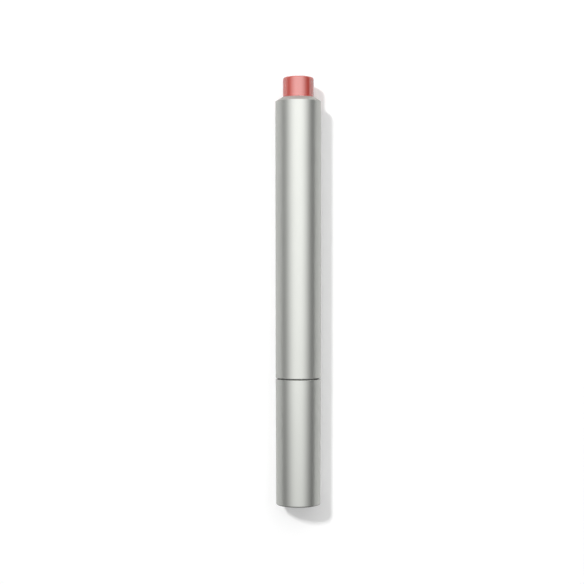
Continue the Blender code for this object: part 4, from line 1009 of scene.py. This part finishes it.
coral_plastic = grained_finish("coral_plastic", CORAL_SHADES, CORAL_GLOSS, CORAL_RELIEF)
shader_of(coral_plastic).inputs["IOR"].default_value = CORAL_IOR
button_low, button_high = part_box("push_button")
crown_turn = math.asin((BUTTON_RADIUS - BUTTON_RIM) / (BUTTON_CROWN - BUTTON_RIM))
crown_end = 90 - math.degrees(crown_turn)
rim_z = button_high.z - BUTTON_CROWN + (BUTTON_CROWN - BUTTON_RIM) * math.cos(crown_turn)
button_outline = [
    (0, button_high.z),
    *arc((0, button_high.z - BUTTON_CROWN), BUTTON_CROWN, 90, crown_end)[1:],
    *arc((BUTTON_RADIUS - BUTTON_RIM, rim_z), BUTTON_RIM, crown_end, 0)[1:],
    (BUTTON_RADIUS, button_low.z + BUTTON_FLANGE),
    (button_high.x, button_low.z + BUTTON_FLANGE),
    (button_high.x, button_low.z),
    (BUTTON_RADIUS - BUTTON_WALL, button_low.z),
    (BUTTON_RADIUS - BUTTON_WALL, button_high.z - BUTTON_WALL),
    (0, button_high.z - BUTTON_WALL),
]
button_cap = turned_shape(button_outline, SHELL_STEPS)
fit_piece("button_cap", button_cap, coral_plastic, "button", "button_plastic", "push_button")

# Cap liner: a white moulded cup, pressed and glued into the cap. Its mouth grips the neck, its land closes
# round the nozzle, and flutes outside keep its thick wall even.
LINER_BORE = 0.00495
LINER_INSIDE_Z = 0.0017
LINER_LAND = 0.00365
LINER_LAND_TOP_Z = 0.02435
LINER_SEAT_Z = 0.02555
LINER_LEAD_IN = 0.0004
LINER_FLOOR_EDGE = 0.0005
LINER_FLUTES = 8
LINER_FLUTE_WIDTH = 0.0024
LINER_FLUTE_DEPTH = 0.0010
LINER_FLUTE_MARGIN = 0.0015
LINER_FLUTE_EDGE = 0.00004

liner_low, liner_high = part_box("cap_liner")
liner_radius = liner_high.x
flute_low = LINER_INSIDE_Z + LINER_FLUTE_MARGIN
flute_high = LINER_LAND_TOP_Z - LINER_FLUTE_MARGIN
liner = turned_shape(
    [
        (0, LINER_INSIDE_Z),
        (LINER_LAND, LINER_INSIDE_Z),
        (LINER_LAND, LINER_LAND_TOP_Z),
        (LINER_BORE, LINER_SEAT_Z),
        (LINER_BORE, liner_high.z - LINER_LEAD_IN),
        (LINER_BORE + LINER_LEAD_IN / 2, liner_high.z),
        (liner_radius, liner_high.z),
        (liner_radius, flute_high + LINER_FLUTE_EDGE),
        (liner_radius, flute_high),
        (liner_radius, flute_low),
        (liner_radius, flute_low - LINER_FLUTE_EDGE),
        *arc((liner_radius - LINER_FLOOR_EDGE, liner_low.z + LINER_FLOOR_EDGE), LINER_FLOOR_EDGE, 0, -90),
        (0, liner_low.z),
    ]
)
flute_floor = liner_radius - LINER_FLUTE_DEPTH
press_windows(liner, LINER_FLUTES, LINER_FLUTE_WIDTH, liner_radius, flute_floor, flute_low, flute_high)
fit_piece("liner_cup", liner, white_plastic, "cap", "white_plastic", "cap_liner")

# Cap shell: a cup drawn from aluminium sheet, in the barrel's satin silver. Its closed end is flat with a
# rounded edge, and its mouth has a small chamfer.
CAP_END_WALL = 0.0008
CAP_EDGE = 0.0004
CAP_DRAFT = 0.000125
# Painted shade on the rounded edge of the cap's closed end, as (share of the edge's height, grey).
CAP_EDGE_PAINTED_SHADE = ((0.0, 1.0), (0.02, 0.45), (0.45, 0.45), (1.0, 1.0))


def grey_ramp(tree, share, greys, blending="LINEAR"):
    """Greys picked by a share, from stops of (share, grey) of which the first is at 0 and the last at 1."""
    ramp = tree.nodes.new("ShaderNodeValToRGB")
    ramp.color_ramp.interpolation = blending
    stops = ramp.color_ramp.elements
    for at, _ in greys[1:-1]:
        stops.new(at)
    for stop, (_, grey) in zip(stops, greys):
        stop.color = (grey, grey, grey, 1)
    tree.links.new(share, ramp.inputs["Fac"])
    return ramp.outputs["Color"]


def painted_edge_shade(finish, height, shades):
    """Paint shade into the colour round the closed end's rounded edge, by shades at shares of a height, for
    its dark reflection and contact shadow.
    """
    tree = finish.node_tree
    colour = shader_of(finish).inputs["Base Color"]
    shaded = tree.nodes.new("ShaderNodeVectorMath")
    shaded.operation = "MULTIPLY"
    share = worked(tree, "DIVIDE", height_on_piece(tree), height)
    tree.links.new(colour.links[0].from_socket, shaded.inputs[0])
    tree.links.new(grey_ramp(tree, share, shades), shaded.inputs[1])
    tree.links.new(shaded.outputs["Vector"], colour)


cap_silver = satin_silver("cap_silver")
# Painted shade: the closed end's rounded edge is darkened in its colour, standing in for the dark reflection
# and the contact shadow there.
painted_edge_shade(cap_silver, CAP_EDGE, CAP_EDGE_PAINTED_SHADE)
cap_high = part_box("cap_sleeve")[1]
cap_mouth_radius = cap_high.x
cap_end_radius = cap_mouth_radius - CAP_DRAFT
cap_bore = cap_end_radius - SHELL_WALL
cap_outline = [
    (0, CAP_END_WALL),
    (cap_bore, CAP_END_WALL),
    (cap_bore, cap_high.z - SHELL_CHAMFER),
    (cap_bore + SHELL_CHAMFER, cap_high.z),
    (cap_mouth_radius - SHELL_CHAMFER, cap_high.z),
    (cap_mouth_radius, cap_high.z - SHELL_CHAMFER),
    *arc((cap_end_radius - CAP_EDGE, CAP_EDGE), CAP_EDGE, 0, -90),
    (0, 0),
]
cap_shell = turned_shape(cap_outline, SHELL_STEPS)
fit_piece("cap_shell", cap_shell, cap_silver, "cap", "sleeve_metal", "cap_sleeve")

# Table top: the pale, matt surface that the pen lies on, here the plane behind it, because the part stands
# on its cap's end. It shows from its front only and lets light through to the pen's own back. Away from the
# pen it fades into the white of the room.
TABLE_SIDE = 3.0
TABLE_GAP = 0.0001
TABLE_COLOUR = 0.78
TABLE_LIFT = 0.26
TABLE_FADE = (0.075, 0.160)
OPEN_LENGTH = 0.0063
VIEW_Z = 0.0609


def any_of(tree, *outputs):
    """1 where any of these outputs is 1."""
    result = outputs[0]
    for output in outputs[1:]:
        result = worked(tree, "MAXIMUM", result, output)
    return result


def mixed(tree, factor, first, second):
    """A value between two, each an output or a number."""
    blend = tree.nodes.new("ShaderNodeMix")
    tree.links.new(factor, blend.inputs["Factor"])
    feed(tree, first, blend.inputs["A"])
    feed(tree, second, blend.inputs["B"])
    return blend.outputs["Result"]


table_y = cad_box[1][1] + TABLE_GAP
table_shape = bmesh.new()
bmesh.ops.create_grid(
    table_shape,
    x_segments=1,
    y_segments=1,
    size=TABLE_SIDE / 2,
    matrix=Matrix.Translation((0, table_y, VIEW_Z)) @ Matrix.Rotation(math.pi / 2, 4, "X"),
)
table_mesh = bpy.data.meshes.new("table_top")
table_shape.to_mesh(table_mesh)
table_shape.free()
table = bpy.data.objects.new("table_top", table_mesh)
scene.collection.objects.link(table)
table_paint = new_finish("table_paint", 1.0)
table_mesh.materials.append(table_paint)
table_shader = shader_of(table_paint)
table_shader.inputs["Specular IOR Level"].default_value = 0.0
table_shader.inputs["Emission Color"].default_value = (1, 1, 1, 1)
tree = table_paint.node_tree
ray = tree.nodes.new("ShaderNodeLightPath").outputs
shown = any_of(tree, ray["Is Camera Ray"], ray["Is Glossy Ray"], ray["Is Transmission Ray"])
away = tree.nodes.new("ShaderNodeVectorMath")
away.operation = "DISTANCE"
away.inputs[1].default_value = (0, table_y, VIEW_Z)
tree.links.new(tree.nodes.new("ShaderNodeTexCoord").outputs["Object"], away.inputs[0])
fade = rescaled(tree, away.outputs["Value"], TABLE_FADE, (0, 1))
colour = mixed(tree, worked(tree, "MULTIPLY", shown, fade), TABLE_COLOUR, 0)
tree.links.new(colour, table_shader.inputs["Base Color"])
lift = worked(tree, "MULTIPLY", shown, mixed(tree, fade, TABLE_LIFT, 1))
tree.links.new(lift, table_shader.inputs["Emission Strength"])
near_pen = worked(tree, "LESS_THAN", ray["Ray Length"], OPEN_LENGTH)
behind = tree.nodes.new("ShaderNodeNewGeometry").outputs["Backfacing"]
one_sided = tree.nodes.new("ShaderNodeMixShader")
tree.links.new(any_of(tree, behind, near_pen), one_sided.inputs[0])
tree.links.new(table_shader.outputs[0], one_sided.inputs[1])
tree.links.new(tree.nodes.new("ShaderNodeBsdfTransparent").outputs[0], one_sided.inputs[2])
tree.links.new(one_sided.outputs[0], tree.nodes["Material Output"].inputs["Surface"])

# Light: a lamp up and to the left throws the pen's shadow to the lower right, and a broad one in front and
# one behind fill it. The room shows in the metal, bright in front and behind, with a dark stretch on either
# side. It dims towards the floor, and its ceiling is bright.
KEY_FROM = (-0.44, -1.0, 0.50)
KEY_DISTANCE = 2.5
KEY_SIZE = 0.25
KEY_POWER = 37
FRONT_FROM = (0.15, -1.0, 0.40)
FRONT_DISTANCE = 0.9
FRONT_SIZE = 1.2
FRONT_POWER = 6.2
BACK_FROM = (0.1, 1.0, 0.3)
BACK_POWER = 4.4
ROOM_FILL = 0.10
ROOM_BRIGHT = 2.55
ROOM_DIM = 0.10
ROOM_DIM_SPAN = (-0.75, 0.14)
ROOM_TOP = 2.2
ROOM_FLOOR = 0.40
ROOM_END_SPAN = (-0.5, 0.5)
ROOM_STEEP_SPAN = (0.70, 0.95)
ROOM_RAMP = (
    (-180, 0.75),
    (-130, 0.50),
    (-105, 0.34),
    (-82, 0.18),
    (-66, 0.25),
    (-52, 0.50),
    (-36, 0.82),
    (-18, 1.02),
    (-4, 1.12),
    (10, 1.08),
    (20, 0.98),
    (32, 0.82),
    (45, 0.58),
    (58, 0.28),
    (75, 0.08),
    (95, 0.12),
    (125, 0.50),
    (180, 0.75),
)


def area_lamp(name, direction, distance, size, power):
    """A square lamp that faces the pen. It lights surfaces, and isn't seen or mirrored itself."""
    lamp_data = bpy.data.lights.new(name, "AREA")
    lamp_data.size = size
    lamp_data.energy = power
    lamp = bpy.data.objects.new(name, lamp_data)
    offset = distance * Vector(direction).normalized()
    lamp.location = Vector((0, 0, VIEW_Z)) + offset
    lamp.rotation_euler = (-offset).to_track_quat("-Z", "Y").to_euler()
    lamp.visible_camera = False
    lamp.visible_glossy = False
    scene.collection.objects.link(lamp)


area_lamp("key_lamp", KEY_FROM, KEY_DISTANCE, KEY_SIZE, KEY_POWER)
area_lamp("front_lamp", FRONT_FROM, FRONT_DISTANCE, FRONT_SIZE, FRONT_POWER)
area_lamp("back_lamp", BACK_FROM, FRONT_DISTANCE, FRONT_SIZE, BACK_POWER)
room = bpy.data.worlds.new("studio_room")
room.use_nodes = True
tree = room.node_tree
direction = tree.nodes.new("ShaderNodeSeparateXYZ")
tree.links.new(tree.nodes.new("ShaderNodeTexCoord").outputs["Generated"], direction.inputs[0])
across, along, up = direction.outputs
heading = worked(tree, "ARCTAN2", across, worked(tree, "MULTIPLY", along, -1))
full_turn = rescaled(tree, heading, (-math.pi, math.pi), (0, 1))
room_stops = [(0.5 + angle / 360, brightness) for angle, brightness in ROOM_RAMP]
dimming = rescaled(tree, up, ROOM_DIM_SPAN, (ROOM_DIM * ROOM_BRIGHT, ROOM_BRIGHT))
walls = worked(tree, "MULTIPLY", grey_ramp(tree, full_turn, room_stops, "B_SPLINE"), dimming)
ends = rescaled(tree, up, ROOM_END_SPAN, (ROOM_FLOOR, ROOM_TOP))
steep = rescaled(tree, worked(tree, "ABSOLUTE", up), ROOM_STEEP_SPAN, (0, 1))
ray = tree.nodes.new("ShaderNodeLightPath").outputs
in_mirror = any_of(tree, ray["Is Glossy Ray"], ray["Is Transmission Ray"])
unseen = mixed(tree, in_mirror, ROOM_FILL, mixed(tree, steep, walls, ends))
brightness = mixed(tree, ray["Is Camera Ray"], unseen, 1)
tree.links.new(brightness, tree.nodes["Background"].inputs["Strength"])
tree.nodes["Background"].inputs["Color"].default_value = (1, 1, 1, 1)
scene.world = room

# The camera looks square on at the pen, as at something laid on a table. Its distance comes from how the
# round ends of the cap and of the barrel curve in the photograph, and its height from the row where they
# don't.
PHOTO_SIDE_PX = 584
PEN_AXIS_PX = 298.3
CAP_END_PX = 504.75
LEVEL_ROW_PX = 273
PIXEL_SIZE = 0.0002869
CAMERA_DISTANCE = 0.4016
SENSOR_WIDTH_MM = 36
CLIP_SHARE = 0.01

view_x = (PHOTO_SIDE_PX / 2 - PEN_AXIS_PX) * PIXEL_SIZE
view_z = (CAP_END_PX - PHOTO_SIDE_PX / 2) * PIXEL_SIZE
eye = Vector((view_x, -CAMERA_DISTANCE, (CAP_END_PX - LEVEL_ROW_PX) * PIXEL_SIZE))
camera_data = bpy.data.cameras.new("camera")
camera_data.sensor_width = SENSOR_WIDTH_MM
camera_data.lens = SENSOR_WIDTH_MM * CAMERA_DISTANCE / (PHOTO_SIDE_PX * PIXEL_SIZE)
camera_data.clip_start = CAMERA_DISTANCE * CLIP_SHARE
camera = bpy.data.objects.new("camera", camera_data)
camera.location = eye
camera.rotation_euler = (Vector((view_x, 0, view_z)) - eye).to_track_quat("-Z", "Y").to_euler()
scene.collection.objects.link(camera)
scene.camera = camera
